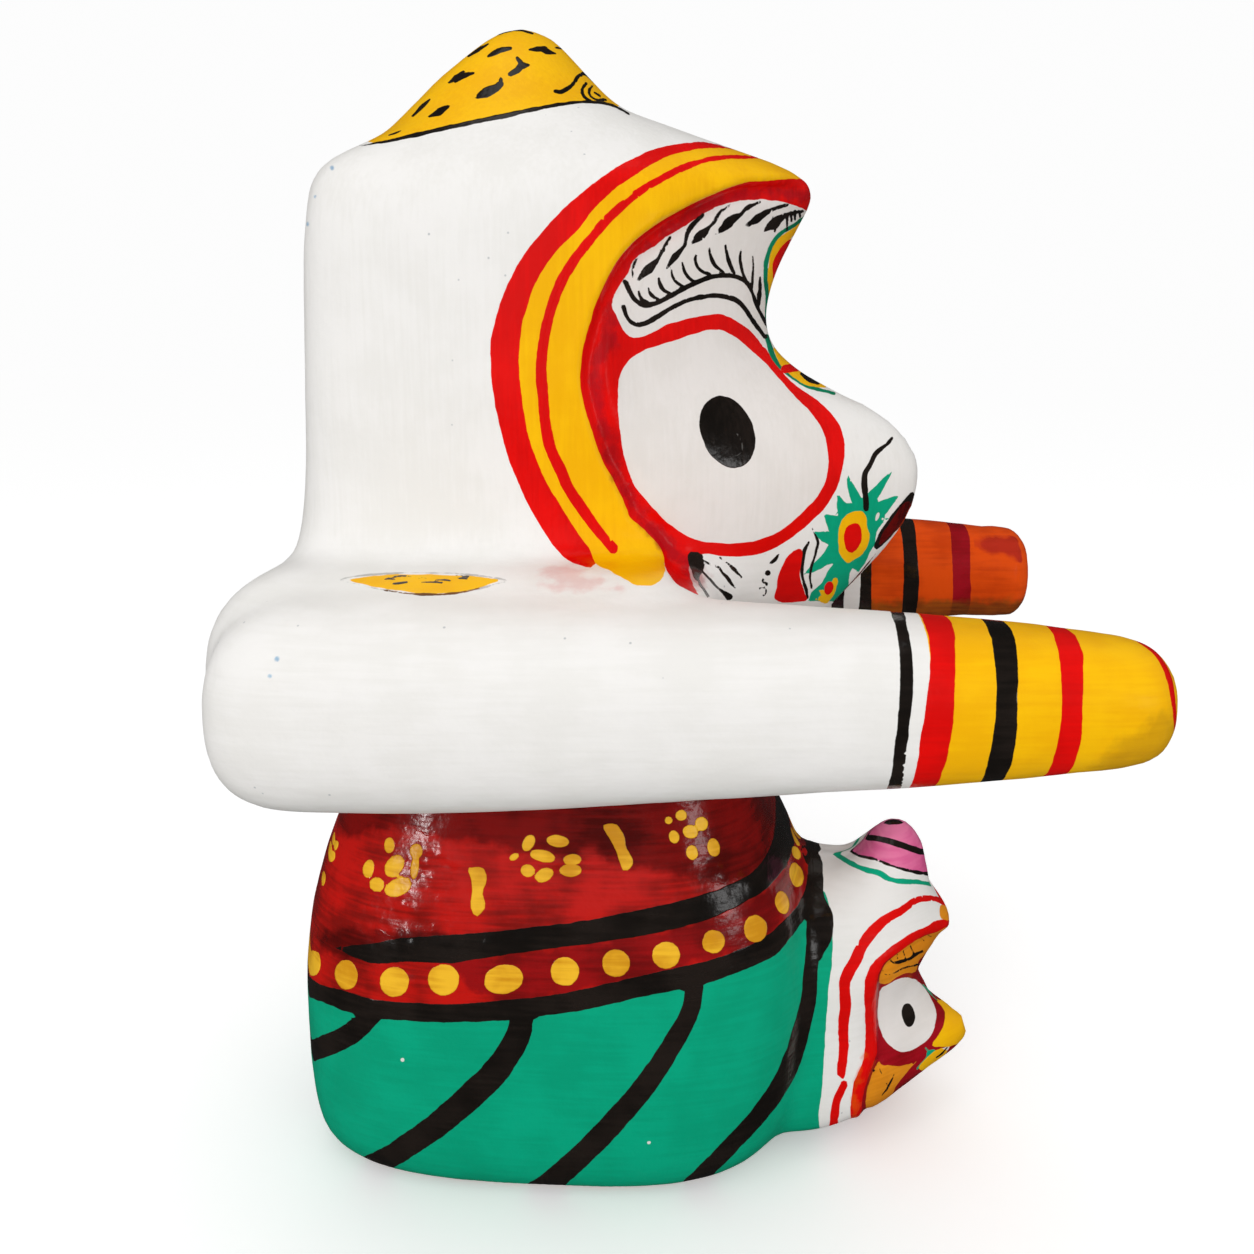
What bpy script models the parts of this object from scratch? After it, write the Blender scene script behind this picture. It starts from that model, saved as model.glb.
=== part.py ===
"""A carved wooden temple figure with two forward arms and a smaller figure on its front.

The whole work is cut from one block. It faces -Y, its left hand is towards +X, and it
stands on z = 0 with the origin under the middle of its body. Metres, +Z up.
"""
import math

import bmesh
import bpy
import numpy as np

# Driving sizes. Forward means towards -Y, side means away from the middle plane.
TOTAL_HEIGHT = 0.300
ARM_SIDE = 0.070            # from the middle plane to an arm's own axis
ARM_BACK = -0.0695
ARM_TIP = 0.1392
SHOULDER_SIDE = 0.081
SHOULDER_BACK = -0.0762
SHOULDER_FRONT = 0.0440
SHOULDER_TOP = 0.1685
SHOULDER_UNDER = 0.1165
SHOULDER_ROUNDING = 0.0215

# How finely the masses are made before they are fused, and what the knife leaves after
RING_STEP = 0.0015
RING_POINTS = 120
VOXEL = 0.0016
SMOOTH_ROUNDS = 5
KEPT_TRIANGLES = 8600


def smooth_curve(at, points):
    """The value at `at` of a curve through (place, value) points that never overshoots them."""
    x, y = np.array(points, float).T
    slope = np.diff(y) / np.diff(x)
    same_way = slope[1:] * slope[:-1] > 0
    inner = np.where(
        same_way, 2 * slope[1:] * slope[:-1] / np.where(same_way, slope[1:] + slope[:-1], 1), 0
    )
    tangent = np.concatenate([slope[:1], inner, slope[-1:]])
    at = np.clip(at, x[0], x[-1])
    i = np.clip(np.searchsorted(x, at) - 1, 0, len(x) - 2)
    width = x[i + 1] - x[i]
    t = (at - x[i]) / width
    return (
        y[i] * (1 + 2 * t) * (1 - t) ** 2
        + y[i + 1] * t * t * (3 - 2 * t)
        + tangent[i] * width * t * (1 - t) ** 2
        - tangent[i + 1] * width * t * t * (1 - t)
    )


def smooth_step(t):
    t = np.clip(t, 0, 1)
    return t * t * (3 - 2 * t)


def rounded(angle, exponent):
    """(forward, side) shares of a superellipse with semi-axes of 1 at an angle from forward."""
    c, s = np.cos(angle), np.sin(angle)
    power = 2 / exponent
    return np.sign(c) * np.abs(c) ** power, np.sign(s) * np.abs(s) ** power


# Body: level against front, back and half width
BODY = {
    "bottom": -0.004,
    "top": 0.125,
    "middle": -0.005,
    "fronts": [
        (-0.004, 0.0470), (0.000, 0.0500), (0.002, 0.0545), (0.005, 0.0585), (0.010, 0.0622), (0.018, 0.0648),
        (0.030, 0.0662), (0.045, 0.0668), (0.063, 0.0655), (0.080, 0.0600), (0.094, 0.0525),
        (0.108, 0.0480), (0.125, 0.0450),
    ],
    "backs": [
        (-0.004, -0.0650), (0.000, -0.0672), (0.002, -0.0704), (0.005, -0.0725), (0.010, -0.0738), (0.025, -0.0750),
        (0.045, -0.0749), (0.063, -0.0732), (0.080, -0.0692), (0.094, -0.0640), (0.108, -0.0580),
        (0.125, -0.0530),
    ],
    "widths": [
        (-0.004, 0.0410), (0.000, 0.0430), (0.002, 0.0460), (0.005, 0.0480), (0.010, 0.0496), (0.025, 0.0514),
        (0.045, 0.0520), (0.063, 0.0510), (0.080, 0.0480), (0.094, 0.0445), (0.108, 0.0420),
        (0.125, 0.0400),
    ],
    "back_boxiness": 3.2,
    "front_boxiness": 3.4,
}

# Big head: level against front, back and half width of the uncarved block with its crown
HEAD = {
    "bottom": 0.112,
    "top": 0.300,
    "middles": [(0.112, -0.020), (0.262, -0.020), (0.274, -0.015), (0.300, -0.0132)],
    "fronts": [
        (0.112, 0.050), (0.125, 0.056), (0.140, 0.0640), (0.155, 0.0650), (0.250, 0.0650),
        (0.2560, 0.0652), (0.2594, 0.0638), (0.262, 0.0600), (0.2640, 0.0560), (0.2675, 0.0460),
        (0.2716, 0.0342), (0.2752, 0.0240), (0.2787, 0.0152), (0.2822, 0.0105), (0.2859, 0.0070),
        (0.2905, 0.0025), (0.2945, -0.0010), (0.2969, -0.0035), (0.2990, -0.0075), (0.300, -0.0125),
    ],
    "backs": [
        (0.112, -0.055), (0.150, -0.066), (0.162, -0.0680), (0.168, -0.0660), (0.175, -0.0645),
        (0.182, -0.0633), (0.200, -0.0617), (0.217, -0.0608), (0.240, -0.0600), (0.250, -0.0592),
        (0.2560, -0.0586), (0.2610, -0.0560), (0.2660, -0.0486), (0.2713, -0.0452), (0.2780, -0.0400),
        (0.2839, -0.0346), (0.290, -0.0278), (0.2955, -0.0208), (0.2985, -0.0166), (0.300, -0.0135),
    ],
    "widths": [
        (0.112, 0.046), (0.150, 0.050), (0.163, 0.0560), (0.167, 0.0535), (0.175, 0.0520),
        (0.190, 0.0525), (0.210, 0.0540), (0.240, 0.0540), (0.252, 0.0525), (0.259, 0.0490),
        (0.265, 0.0430), (0.271, 0.0370), (0.278, 0.0300), (0.284, 0.0248), (0.290, 0.0195),
        (0.2955, 0.0138), (0.2985, 0.0085), (0.300, 0.0010),
    ],
    "back_boxiness": 5.0,
    "crown_boxiness": 2.6,
    "crown_from": 0.263,
    "front_boxiness": 2.0,
    # the carved face: its rim is a rounded shape seen from the front
    "face_up": 0.196,
    "face_above": 0.0630,
    "face_below": 0.0690,
    "face_width": 0.0500,
    "above_boxiness": 4.5,
    "below_boxiness": 2.2,
    "rim_softness": 0.085,
    "crease_forward": 0.0100,
    "eye": (0.030, 0.188, 0.014, 0.018, 0.0030),
    "profile": [
        (0.112, 0.0440), (0.124, 0.0500), (0.135, 0.0600), (0.1471, 0.0710), (0.1582, 0.0812),
        (0.1695, 0.0904), (0.1778, 0.0937), (0.1830, 0.0946), (0.1868, 0.0943), (0.1941, 0.0898),
        (0.2003, 0.0829), (0.2067, 0.0694), (0.2130, 0.0588), (0.2195, 0.0532), (0.2250, 0.0521),
        (0.2301, 0.0525), (0.2360, 0.0543), (0.2418, 0.0567), (0.2522, 0.0621), (0.2570, 0.0644),
        (0.2600, 0.0636),
    ],
    "bluntness": [
        (0.112, 0.60), (0.150, 0.30), (0.170, 0.17), (0.190, 0.16), (0.203, 0.24),
        (0.222, 0.75), (0.260, 0.90),
    ],
}

# Small figure on the front
SMALL = {
    "bottom": 0.0042,
    "top": 0.0855,
    "middles": [(0.0042, 0.060), (0.060, 0.064), (0.070, 0.080), (0.0855, 0.0890)],
    "fronts": [
        (0.0042, 0.0780), (0.0055, 0.0850), (0.009, 0.0930), (0.014, 0.1010), (0.021, 0.1060),
        (0.052, 0.1060), (0.0564, 0.1054), (0.0600, 0.1032), (0.0639, 0.1017), (0.069, 0.1003),
        (0.0736, 0.0989), (0.0782, 0.0972), (0.0815, 0.0954), (0.0840, 0.0930), (0.0855, 0.0900),
    ],
    "backs": [
        (0.0042, 0.0400), (0.050, 0.0400), (0.066, 0.0420), (0.071, 0.0530), (0.0738, 0.0640),
        (0.0757, 0.0735), (0.0777, 0.0765), (0.0802, 0.0795), (0.0827, 0.0825), (0.0845, 0.0855),
        (0.0855, 0.0885),
    ],
    "widths": [
        (0.0042, 0.0250), (0.0055, 0.0275), (0.009, 0.0290), (0.015, 0.0298), (0.048, 0.0292),
        (0.057, 0.0272), (0.064, 0.0240), (0.070, 0.0200), (0.0737, 0.0165), (0.0767, 0.0143),
        (0.0797, 0.0120), (0.0827, 0.0088), (0.0847, 0.0052), (0.0855, 0.0010),
    ],
    "back_boxiness": 2.4,
    "crown_boxiness": 1.6,
    "crown_from": 0.062,
    "front_boxiness": 1.9,
    "face_up": 0.0310,
    "face_above": 0.0262,
    "face_below": 0.0300,
    "face_width": 0.0272,
    "above_boxiness": 4.0,
    "below_boxiness": 3.0,
    "rim_softness": 0.11,
    "crease_forward": 0.0765,
    "eye": (0.0165, 0.0240, 0.0075, 0.0085, 0.0012),
    "profile": [
        (0.0042, 0.0820), (0.007, 0.0920), (0.0105, 0.1020), (0.0146, 0.1085), (0.0175, 0.1112),
        (0.0208, 0.1119), (0.0254, 0.1093), (0.0290, 0.1022), (0.0338, 0.0976), (0.0388, 0.0962),
        (0.0442, 0.0990), (0.0503, 0.1048), (0.0545, 0.1056), (0.0580, 0.1040),
    ],
    "bluntness": [
        (0.0042, 0.35), (0.015, 0.20), (0.023, 0.20), (0.032, 0.50), (0.058, 0.90),
    ],
}

# Arm: place along it against half height, and its blunt ends
ARM_SIZES = [
    (-0.0695, 0.0050), (-0.0687, 0.0110), (-0.0669, 0.0156), (-0.0635, 0.0196), (-0.0575, 0.0226),
    (-0.0500, 0.0240), (-0.0350, 0.0243), (0.0000, 0.0232), (0.0380, 0.0211), (0.0730, 0.0189),
    (0.1000, 0.0169), (0.1150, 0.0154), (0.1250, 0.0141), (0.1310, 0.0126), (0.1355, 0.0103),
    (0.1380, 0.0075), (0.1392, 0.0030),
]
ARM_LEVELS = [
    (-0.0695, 0.1390), (-0.0635, 0.1396), (-0.0500, 0.1404), (0.0000, 0.1412), (0.0500, 0.1424),
    (0.1000, 0.1432), (0.1392, 0.1438),
]
ARM_BOXINESS = 2.5


def head_front(sizes, middle, side, up):
    """How far forward the carved face lies at a place seen from the front."""
    hull_front = smooth_curve(up, sizes["fronts"])
    half_width = smooth_curve(up, sizes["widths"])
    power = sizes["front_boxiness"]
    share = np.clip(1 - np.abs(side / half_width) ** power, 0, 1) ** (1 / power)
    hull = middle + (hull_front - middle) * share

    rise = up - sizes["face_up"]
    above = rise > 0
    reach = np.where(above, sizes["face_above"], sizes["face_below"])
    boxy = np.where(above, sizes["above_boxiness"], sizes["below_boxiness"])
    across = np.abs(side) / sizes["face_width"]
    spread = (across ** boxy + np.abs(rise / reach) ** boxy) ** (1 / boxy)

    ridge = smooth_curve(up, sizes["profile"])
    blunt = smooth_curve(up, sizes["bluntness"])
    fall = (np.sqrt(across**2 + blunt**2) - blunt) / (np.sqrt(1 + blunt**2) - blunt)
    inner = sizes["crease_forward"] + (ridge - sizes["crease_forward"]) * (1 - fall)
    eye_side, eye_up, eye_wide, eye_high, bulge = sizes["eye"]
    inner = inner + bulge * np.exp(
        -(((np.abs(side) - eye_side) / eye_wide) ** 2) - ((up - eye_up) / eye_high) ** 2
    )
    carved = smooth_step((1 - spread) / sizes["rim_softness"])
    return hull * (1 - carved) + inner * carved


def levels(bottom, top, step):
    """Levels from bottom to top that crowd together near the top, where the crown flattens."""
    count = int((top - bottom) / step)
    t = np.linspace(0, 1, count)
    return bottom + (top - bottom) * (1 - (1 - t) ** 1.35)


def head_rings(sizes):
    angles = np.linspace(0, 2 * math.pi, RING_POINTS, endpoint=False)
    rings = []
    for up in levels(sizes["bottom"], sizes["top"], RING_STEP):
        half_width = float(smooth_curve(up, sizes["widths"]))
        back = float(smooth_curve(up, sizes["backs"]))
        middle = float(smooth_curve(up, sizes["middles"]))
        along_f, across_f = rounded(angles, sizes["front_boxiness"])
        crown = smooth_step((up - sizes["crown_from"]) / 0.008)
        boxy = sizes["back_boxiness"] * (1 - crown) + sizes["crown_boxiness"] * crown
        along_b, across_b = rounded(angles, boxy)
        facing = np.cos(angles) > 0
        side = half_width * np.where(facing, across_f, across_b)
        front = head_front(sizes, middle, side, up)
        forward = np.where(facing, front, middle + (middle - back) * along_b)
        rings.append(np.stack([side, -forward, np.full_like(side, up)], axis=1))
    return rings


def body_rings():
    angles = np.linspace(0, 2 * math.pi, RING_POINTS, endpoint=False)
    along_f, across_f = rounded(angles, BODY["front_boxiness"])
    along_b, across_b = rounded(angles, BODY["back_boxiness"])
    facing = np.cos(angles) > 0
    middle = BODY["middle"]
    rings = []
    for up in np.arange(BODY["bottom"], BODY["top"], RING_STEP):
        width = smooth_curve(up, BODY["widths"])
        to_front = smooth_curve(up, BODY["fronts"]) - middle
        to_back = middle - smooth_curve(up, BODY["backs"])
        side = width * np.where(facing, across_f, across_b)
        forward = middle + np.where(facing, to_front * along_f, to_back * along_b)
        rings.append(np.stack([side, -forward, np.full_like(side, up)], axis=1))
    return rings


def arm_rings(side):
    angles = np.linspace(0, 2 * math.pi, RING_POINTS, endpoint=False)
    up_share, side_share = rounded(angles, ARM_BOXINESS)
    rings = []
    t = np.linspace(0, 1, int((ARM_TIP - ARM_BACK) / RING_STEP))
    for forward in ARM_BACK + (ARM_TIP - ARM_BACK) * 0.5 * (1 - np.cos(math.pi * t)):
        size = smooth_curve(forward, ARM_SIZES)
        centre_up = smooth_curve(forward, ARM_LEVELS)
        rings.append(
            np.stack(
                [side + size * side_share, np.full_like(angles, -forward), centre_up + size * up_share],
                axis=1,
            )
        )
    return rings


def loft(name, rings):
    """A closed shell through rings of one point count, with a flat cap at each end."""
    work = bmesh.new()
    rows = [[work.verts.new(p) for p in ring] for ring in rings]
    for low, high in zip(rows, rows[1:]):
        for i in range(len(low)):
            j = (i + 1) % len(low)
            work.faces.new((low[i], low[j], high[j], high[i]))
    work.faces.new(rows[0])
    work.faces.new(rows[-1])
    bmesh.ops.recalc_face_normals(work, faces=work.faces)
    mesh = bpy.data.meshes.new(name)
    work.to_mesh(mesh)
    work.free()
    made = bpy.data.objects.new(name, mesh)
    figure_parts.objects.link(made)
    return made


def shoulder_bar():
    """The block between the arms, standing a little proud of them, with well rounded edges."""
    bpy.ops.mesh.primitive_cube_add(size=1)
    bar = bpy.context.object
    bar.name = "shoulder_bar"
    bar.scale = (2 * SHOULDER_SIDE, SHOULDER_FRONT - SHOULDER_BACK, SHOULDER_TOP - SHOULDER_UNDER)
    bar.location = (0, -(SHOULDER_BACK + SHOULDER_FRONT) / 2, (SHOULDER_TOP + SHOULDER_UNDER) / 2)
    bpy.ops.object.transform_apply(location=True, scale=True)
    edges = bar.modifiers.new("edges", "BEVEL")
    edges.width = SHOULDER_ROUNDING
    edges.segments = 8
    bpy.ops.object.modifier_apply(modifier=edges.name)
    return bar


for old in list(bpy.data.objects):
    bpy.data.objects.remove(old)
figure_parts = bpy.data.collections.new("painted_wooden_figure")
bpy.context.scene.collection.children.link(figure_parts)
bpy.context.view_layer.active_layer_collection = (
    bpy.context.view_layer.layer_collection.children[figure_parts.name]
)

masses = [
    loft("body", body_rings()),
    loft("head", head_rings(HEAD)),
    loft("small_figure", head_rings(SMALL)),
    loft("arm_right", arm_rings(-ARM_SIDE)),
    loft("arm_left", arm_rings(ARM_SIDE)),
    shoulder_bar(),
]
bpy.ops.object.select_all(action="DESELECT")
for mass in masses:
    mass.select_set(True)
bpy.context.view_layer.objects.active = masses[0]
bpy.ops.object.join()
figure = bpy.context.object
figure.name = "carved_figure"

fused = figure.modifiers.new("fused", "REMESH")
fused.mode = "VOXEL"
fused.voxel_size = VOXEL
softened = figure.modifiers.new("softened", "SMOOTH")
softened.factor = 0.5
softened.iterations = SMOOTH_ROUNDS
bpy.context.view_layer.update()
counted = figure.evaluated_get(bpy.context.evaluated_depsgraph_get()).to_mesh()
counted.calc_loop_triangles()
fine_triangles = len(counted.loop_triangles)
faceted = figure.modifiers.new("faceted", "DECIMATE")
faceted.ratio = min(1.0, KEPT_TRIANGLES / fine_triangles)

# The saw cut that leaves the flat underside
cutters = bpy.data.collections.new("cutters")
bpy.context.scene.collection.children.link(cutters)
bpy.ops.mesh.primitive_cube_add(size=1, location=(0, 0, -0.02))
saw = bpy.context.object
saw.name = "saw_cut"
saw.scale = (0.3, 0.3, 0.04)
bpy.ops.object.transform_apply(location=True, scale=True)
figure_parts.objects.unlink(saw)
cutters.objects.link(saw)
saw.hide_render = True
saw.display_type = "WIRE"
underside = figure.modifiers.new("underside", "BOOLEAN")
underside.operation = "DIFFERENCE"
underside.solver = "EXACT"
underside.object = saw

paint = bpy.data.materials.new("painted_wood")
paint.use_nodes = True
shader = paint.node_tree.nodes["Principled BSDF"]
shader.inputs["Base Color"].default_value = (0.84, 0.83, 0.80, 1)
shader.inputs["Roughness"].default_value = 0.35
shader.inputs["Metallic"].default_value = 0.0
figure.data.materials.clear()
figure.data.materials.append(paint)
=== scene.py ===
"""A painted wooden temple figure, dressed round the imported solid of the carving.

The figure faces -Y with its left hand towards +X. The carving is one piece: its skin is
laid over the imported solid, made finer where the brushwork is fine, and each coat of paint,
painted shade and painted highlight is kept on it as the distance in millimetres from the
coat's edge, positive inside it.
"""
import math

import bpy
import numpy as np
from mathutils import Matrix, Vector, noise


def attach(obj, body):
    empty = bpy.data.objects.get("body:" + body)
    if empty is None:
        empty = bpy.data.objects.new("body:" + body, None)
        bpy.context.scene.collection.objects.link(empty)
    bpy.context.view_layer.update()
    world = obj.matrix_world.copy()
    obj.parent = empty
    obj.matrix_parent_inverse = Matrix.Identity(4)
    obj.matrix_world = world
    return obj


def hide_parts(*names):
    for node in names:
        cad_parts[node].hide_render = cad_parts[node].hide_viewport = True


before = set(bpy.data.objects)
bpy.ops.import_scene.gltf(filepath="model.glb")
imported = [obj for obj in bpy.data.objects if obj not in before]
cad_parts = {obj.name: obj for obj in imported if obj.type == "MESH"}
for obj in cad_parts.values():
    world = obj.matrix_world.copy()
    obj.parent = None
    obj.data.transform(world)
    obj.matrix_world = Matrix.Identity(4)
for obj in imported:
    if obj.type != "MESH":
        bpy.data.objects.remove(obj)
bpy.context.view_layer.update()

# The photograph is 1254 pixels square. Its camera, found from the object's own corners:
PHOTO_SIZE = 1254
FOCAL_PIXELS = 1150.0
CAMERA_PLACE = np.array([-0.3130, -0.0518, 0.2208])
AIM_PIXEL = (690.0, 502.0)
VANISH_PIXEL = (765.0, 335.0)

# The carving's own places, in metres
ARM_INSIDE = 0.043              # sideways, where the arms start
ARM_UNDER = 0.105               # above the floor: the small face is all below this
BODY_TOP = 0.119                # above the floor, where the body goes in under the shoulders
BODY_SQUARENESS = 3.2           # 2 would be an oval, and more is squarer
BODY_ANGLE_SEEN = math.radians(26)  # round from the back, where the photograph's view of it ends

# Enlarged windows of the photograph that the brushwork was drawn from: left, top, scale
CROWN = (150, 0, 2.851)
FACE = (480, 120, 3.136)
BROW = (600, 120, 6.817)
MOUTH = (660, 430, 5.6)
SHOULDER = (180, 520, 3.136)
BODY = (300, 790, 2.8)
SMALL = (780, 780, 4.126)
HAND = (860, 500, 4.5)
FRONT = (0, 0, 1)           # not a window: millimetres sideways and down, seen from the front

FAR = 3.0                   # millimetres: no coat's distance is kept beyond this
EVEN_EDGE = 0.0023          # metres: the skin's edges away from any brushwork
FINE_WORK = 14.0            # pixels: what is narrower than this is fine brushwork
FINE_EDGE = 0.00068
BROAD_EDGE = 0.00138
FAR_SIDE_COARSER = 1.33      # the left side, which the photograph hides

REFINING_ROUNDS = 4

# The small face's front line, carved deeper than the solid: row of the photograph, and the
# millimetres forward of the solid there
SMALL_PROFILE = [
    (800, 0.0), (815, 1.2), (845, 0.8), (860, 0.0), (885, -0.8), (897, 0.3), (908, 1.5),
    (916, 1.5), (926, 0.7), (935, -0.5), (943, -2.2), (950, -2.7), (957, -2.2), (966, -0.8),
    (975, 1.3), (984, 2.6), (1000, 2.3), (1015, 2.7), (1025, 1.9), (1035, 1.1), (1045, 0.0),
    (1055, -1.3), (1065, -2.3), (1080, -2.3), (1091, -1.5), (1100, 0.0), (1109, 1.2),
    (1118, 1.2), (1128, 0.0),
]
# The hands' blunt ends: millimetres forward, and how much fuller and lower the end is there
HAND_END = [(112, 0.0, 0.0), (118, 0.2, 0.2), (125, 0.9, 0.8), (130, 2.1, 0.8), (134, 3.4, 1.0),
            (140, 3.6, 1.0)]
HAND_MIDDLE = (0.070, 0.1435)   # metres sideways and up


def area(window, points, sharp=False):
    return ("area", window, points, sharp)


def stroke(window, widths, points):
    return ("stroke", window, points, widths)


def spot(window, place, half, turn=0.0):
    """An oval dab, as an outline of 14 points."""
    c, s = math.cos(math.radians(turn)), math.sin(math.radians(turn))
    points = []
    for i in range(14):
        a = 2 * math.pi * i / 14
        across, down = half[0] * math.cos(a), half[1] * math.sin(a)
        points.append((place[0] + across * c - down * s, place[1] + across * s + down * c))
    return ("area", window, points, False)


RIM_OUTSIDE = [
    (760, 80), (700, 70), (620, 75), (540, 95), (460, 130), (390, 175), (310, 235), (240, 300),
    (180, 370), (125, 440), (85, 520), (55, 600), (35, 690), (33, 780), (42, 860), (60, 950),
    (85, 1050), (125, 1150), (170, 1240), (220, 1320), (260, 1370), (300, 1392), (345, 1405),
    (362, 1390),
]
RIM_YELLOW = [
    (815, 95), (750, 88), (680, 92), (600, 110), (530, 145), (460, 190), (400, 235), (350, 290),
    (300, 350), (250, 400), (210, 450), (175, 510), (150, 580), (130, 650), (122, 740), (125, 820),
    (135, 900), (150, 980), (175, 1060), (210, 1140), (260, 1220), (310, 1300), (345, 1345),
    (362, 1390),
]
RIM_LINE = [
    (870, 117), (800, 116), (730, 121), (655, 142), (585, 175), (515, 215), (450, 265), (392, 320),
    (342, 380), (295, 440), (256, 505), (230, 570), (210, 640), (197, 711), (192, 790), (198, 865),
    (205, 950), (218, 1020), (251, 1095), (280, 1160), (325, 1225), (372, 1290), (420, 1345),
]
RIM_INSIDE = [
    (1040, 190), (980, 183), (900, 190), (840, 195), (780, 215), (700, 250), (640, 280), (570, 320),
    (500, 370), (450, 420), (410, 480), (375, 550), (350, 620), (328, 700), (315, 780), (320, 860),
    (340, 940), (365, 1020), (395, 1090), (430, 1150), (460, 1220), (475, 1250), (530, 1300),
    (570, 1350), (580, 1400),
]
# where the painted shade in the face's crease runs
CREASE_LINE = [
    (1028, 240), (941, 232), (836, 250), (732, 279), (645, 331), (575, 392), (505, 462),
    (456, 557), (427, 645), (392, 732), (365, 784), (383, 923), (424, 1063), (484, 1202),
    (560, 1307), (645, 1376), (697, 1446),
]
FACE_INSIDE = RIM_INSIDE + [
    (620, 1470), (720, 1560), (1300, 1560), (1600, 1200), (1600, 200), (1200, 190),
]
EYE_RING = [
    (700, 1360), (780, 1370), (850, 1365), (920, 1345), (990, 1300), (1050, 1250), (1100, 1190),
    (1130, 1120), (1143, 1050), (1140, 990), (1110, 930), (1060, 880), (1000, 840), (940, 780),
    (900, 720), (890, 690),
]
EYE_WHITE = [
    (745, 657), (800, 680), (860, 730), (920, 790), (980, 860), (1040, 920), (1080, 990),
    (1093, 1060), (1085, 1130), (1050, 1190), (1000, 1240), (940, 1290), (870, 1318), (780, 1328),
    (700, 1322), (640, 1300), (580, 1255), (530, 1200), (490, 1150), (465, 1090), (445, 1010),
    (435, 930), (432, 870), (440, 800), (470, 750), (520, 720), (600, 695), (680, 668),
]
BROW_WHITE = [
    (105, 1280), (115, 1225), (150, 1160), (200, 1080), (250, 990), (300, 930), (400, 860),
    (500, 790), (620, 720), (740, 650), (870, 590), (1000, 560), (1150, 553), (1290, 572),
    (1390, 608), (1440, 640), (1560, 680), (1600, 1100), (1300, 1700), (1135, 1560), (1080, 1500),
    (1030, 1440), (960, 1390), (860, 1335), (790, 1325), (680, 1335), (560, 1365), (450, 1400),
    (320, 1465), (220, 1485), (165, 1440), (128, 1360),
]

BAND_TOP = [
    (95, 440), (200, 430), (300, 412), (430, 405), (600, 390), (800, 365), (1000, 325),
    (1150, 285), (1250, 240), (1300, 190), (1325, 130), (1332, 60), (1335, -60),
]
BAND_BOTTOM = [
    (95, 440), (200, 485), (300, 480), (420, 485), (550, 465), (700, 445), (850, 425), (1000, 400),
    (1150, 360), (1250, 310), (1310, 270), (1362, 210), (1385, 150), (1405, 120), (1440, 60),
    (1440, -60),
]
BELT_BOTTOM = [
    (-60, 470), (0, 495), (25, 520), (60, 545), (120, 560), (200, 585), (300, 595), (420, 600),
    (550, 590), (700, 575), (850, 545), (1000, 510), (1150, 475), (1270, 430), (1350, 370),
    (1400, 310), (1420, 250), (1416, 190), (1395, 150),
]
LOW_BAND_BOTTOM = [
    (-60, 540), (25, 580), (80, 600), (130, 620), (190, 632), (240, 642), (400, 650), (580, 645),
    (660, 635), (800, 615), (1000, 570), (1080, 555), (1130, 545), (1200, 520), (1320, 470),
    (1360, 430), (1420, 350), (1450, 300),
]
FACE_CORNER = [(618, 1454), (620, 1500), (640, 1600), (720, 1600), (690, 1485), (657, 1398)]
SHOULDER_DISC = [
    (530, 188), (560, 182), (620, 175), (700, 170), (780, 170), (850, 172), (930, 178),
    (1000, 188), (960, 205), (900, 222), (850, 228), (790, 232), (740, 230), (690, 222),
    (620, 212), (560, 199),
]
DISC_OUTLINE = [
    (500, 189), (540, 178), (620, 170), (700, 166), (780, 166), (860, 168), (950, 176),
    (1024, 190), (985, 202), (930, 217), (860, 230), (790, 234), (720, 231), (640, 219),
    (560, 203), (500, 189),
]
RIGHT_HAND_RING = [
    (69.5 + 10.2 * math.cos(math.radians(a)), -146 + 9.2 * math.sin(math.radians(a)))
    for a in range(0, 361, 20)
]
LEFT_HAND_DASH = [(62.8, -155.4), (60.0, -153.9), (58.3, -151.4), (57.4, -148.8)]
# painted shadow of the arm over the body's top, on a red that is darker there too
UNDER_ARM_SHADOW_AND_DARK_RED = [
    (100, -60), (1330, -60), (1330, 150), (1270, 235), (1140, 262), (1000, 232), (900, 205),
    (820, 172), (715, 186), (600, 172), (520, 150), (440, 150), (350, 120), (240, 112),
    (170, 130), (110, 110),
]
BAND_WASH = [
    (70, 400), (150, 385), (230, 400), (330, 395), (420, 400), (420, 430), (330, 440),
    (250, 452), (180, 470), (110, 470), (60, 440),
]
# a darker brown patch low on each hand's end
HAND_DARKER_PATCH = [
    (1130, 1130), (1200, 1060), (1290, 1030), (1350, 960), (1400, 980), (1450, 1050),
    (1400, 1230), (1200, 1290), (1000, 1310), (1060, 1215),
]
PUPIL_SCRATCH = [
    (345, 110), (370, 130), (400, 142), (430, 143), (455, 120), (460, 85), (450, 50), (430, 20),
]
SMALL_RIM_OUTSIDE = [
    (760, 560), (700, 570), (640, 580), (590, 610), (540, 630), (490, 665), (440, 700), (390, 745),
    (365, 780), (350, 820), (348, 880), (350, 950), (352, 1020), (350, 1090), (345, 1150),
    (325, 1200), (305, 1250), (295, 1300), (290, 1360), (294, 1440),
]
SMALL_RIM_INSIDE = [
    (700, 610), (660, 625), (600, 640), (550, 670), (500, 705), (450, 740), (425, 765), (408, 800),
    (400, 850), (398, 900), (396, 950), (398, 1010), (400, 1080), (402, 1130), (390, 1160),
    (372, 1210), (352, 1270), (340, 1330), (335, 1400), (340, 1440),
]
SMALL_INSIDE = SMALL_RIM_INSIDE + [(700, 1500), (1100, 1400), (1100, 700)]

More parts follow.
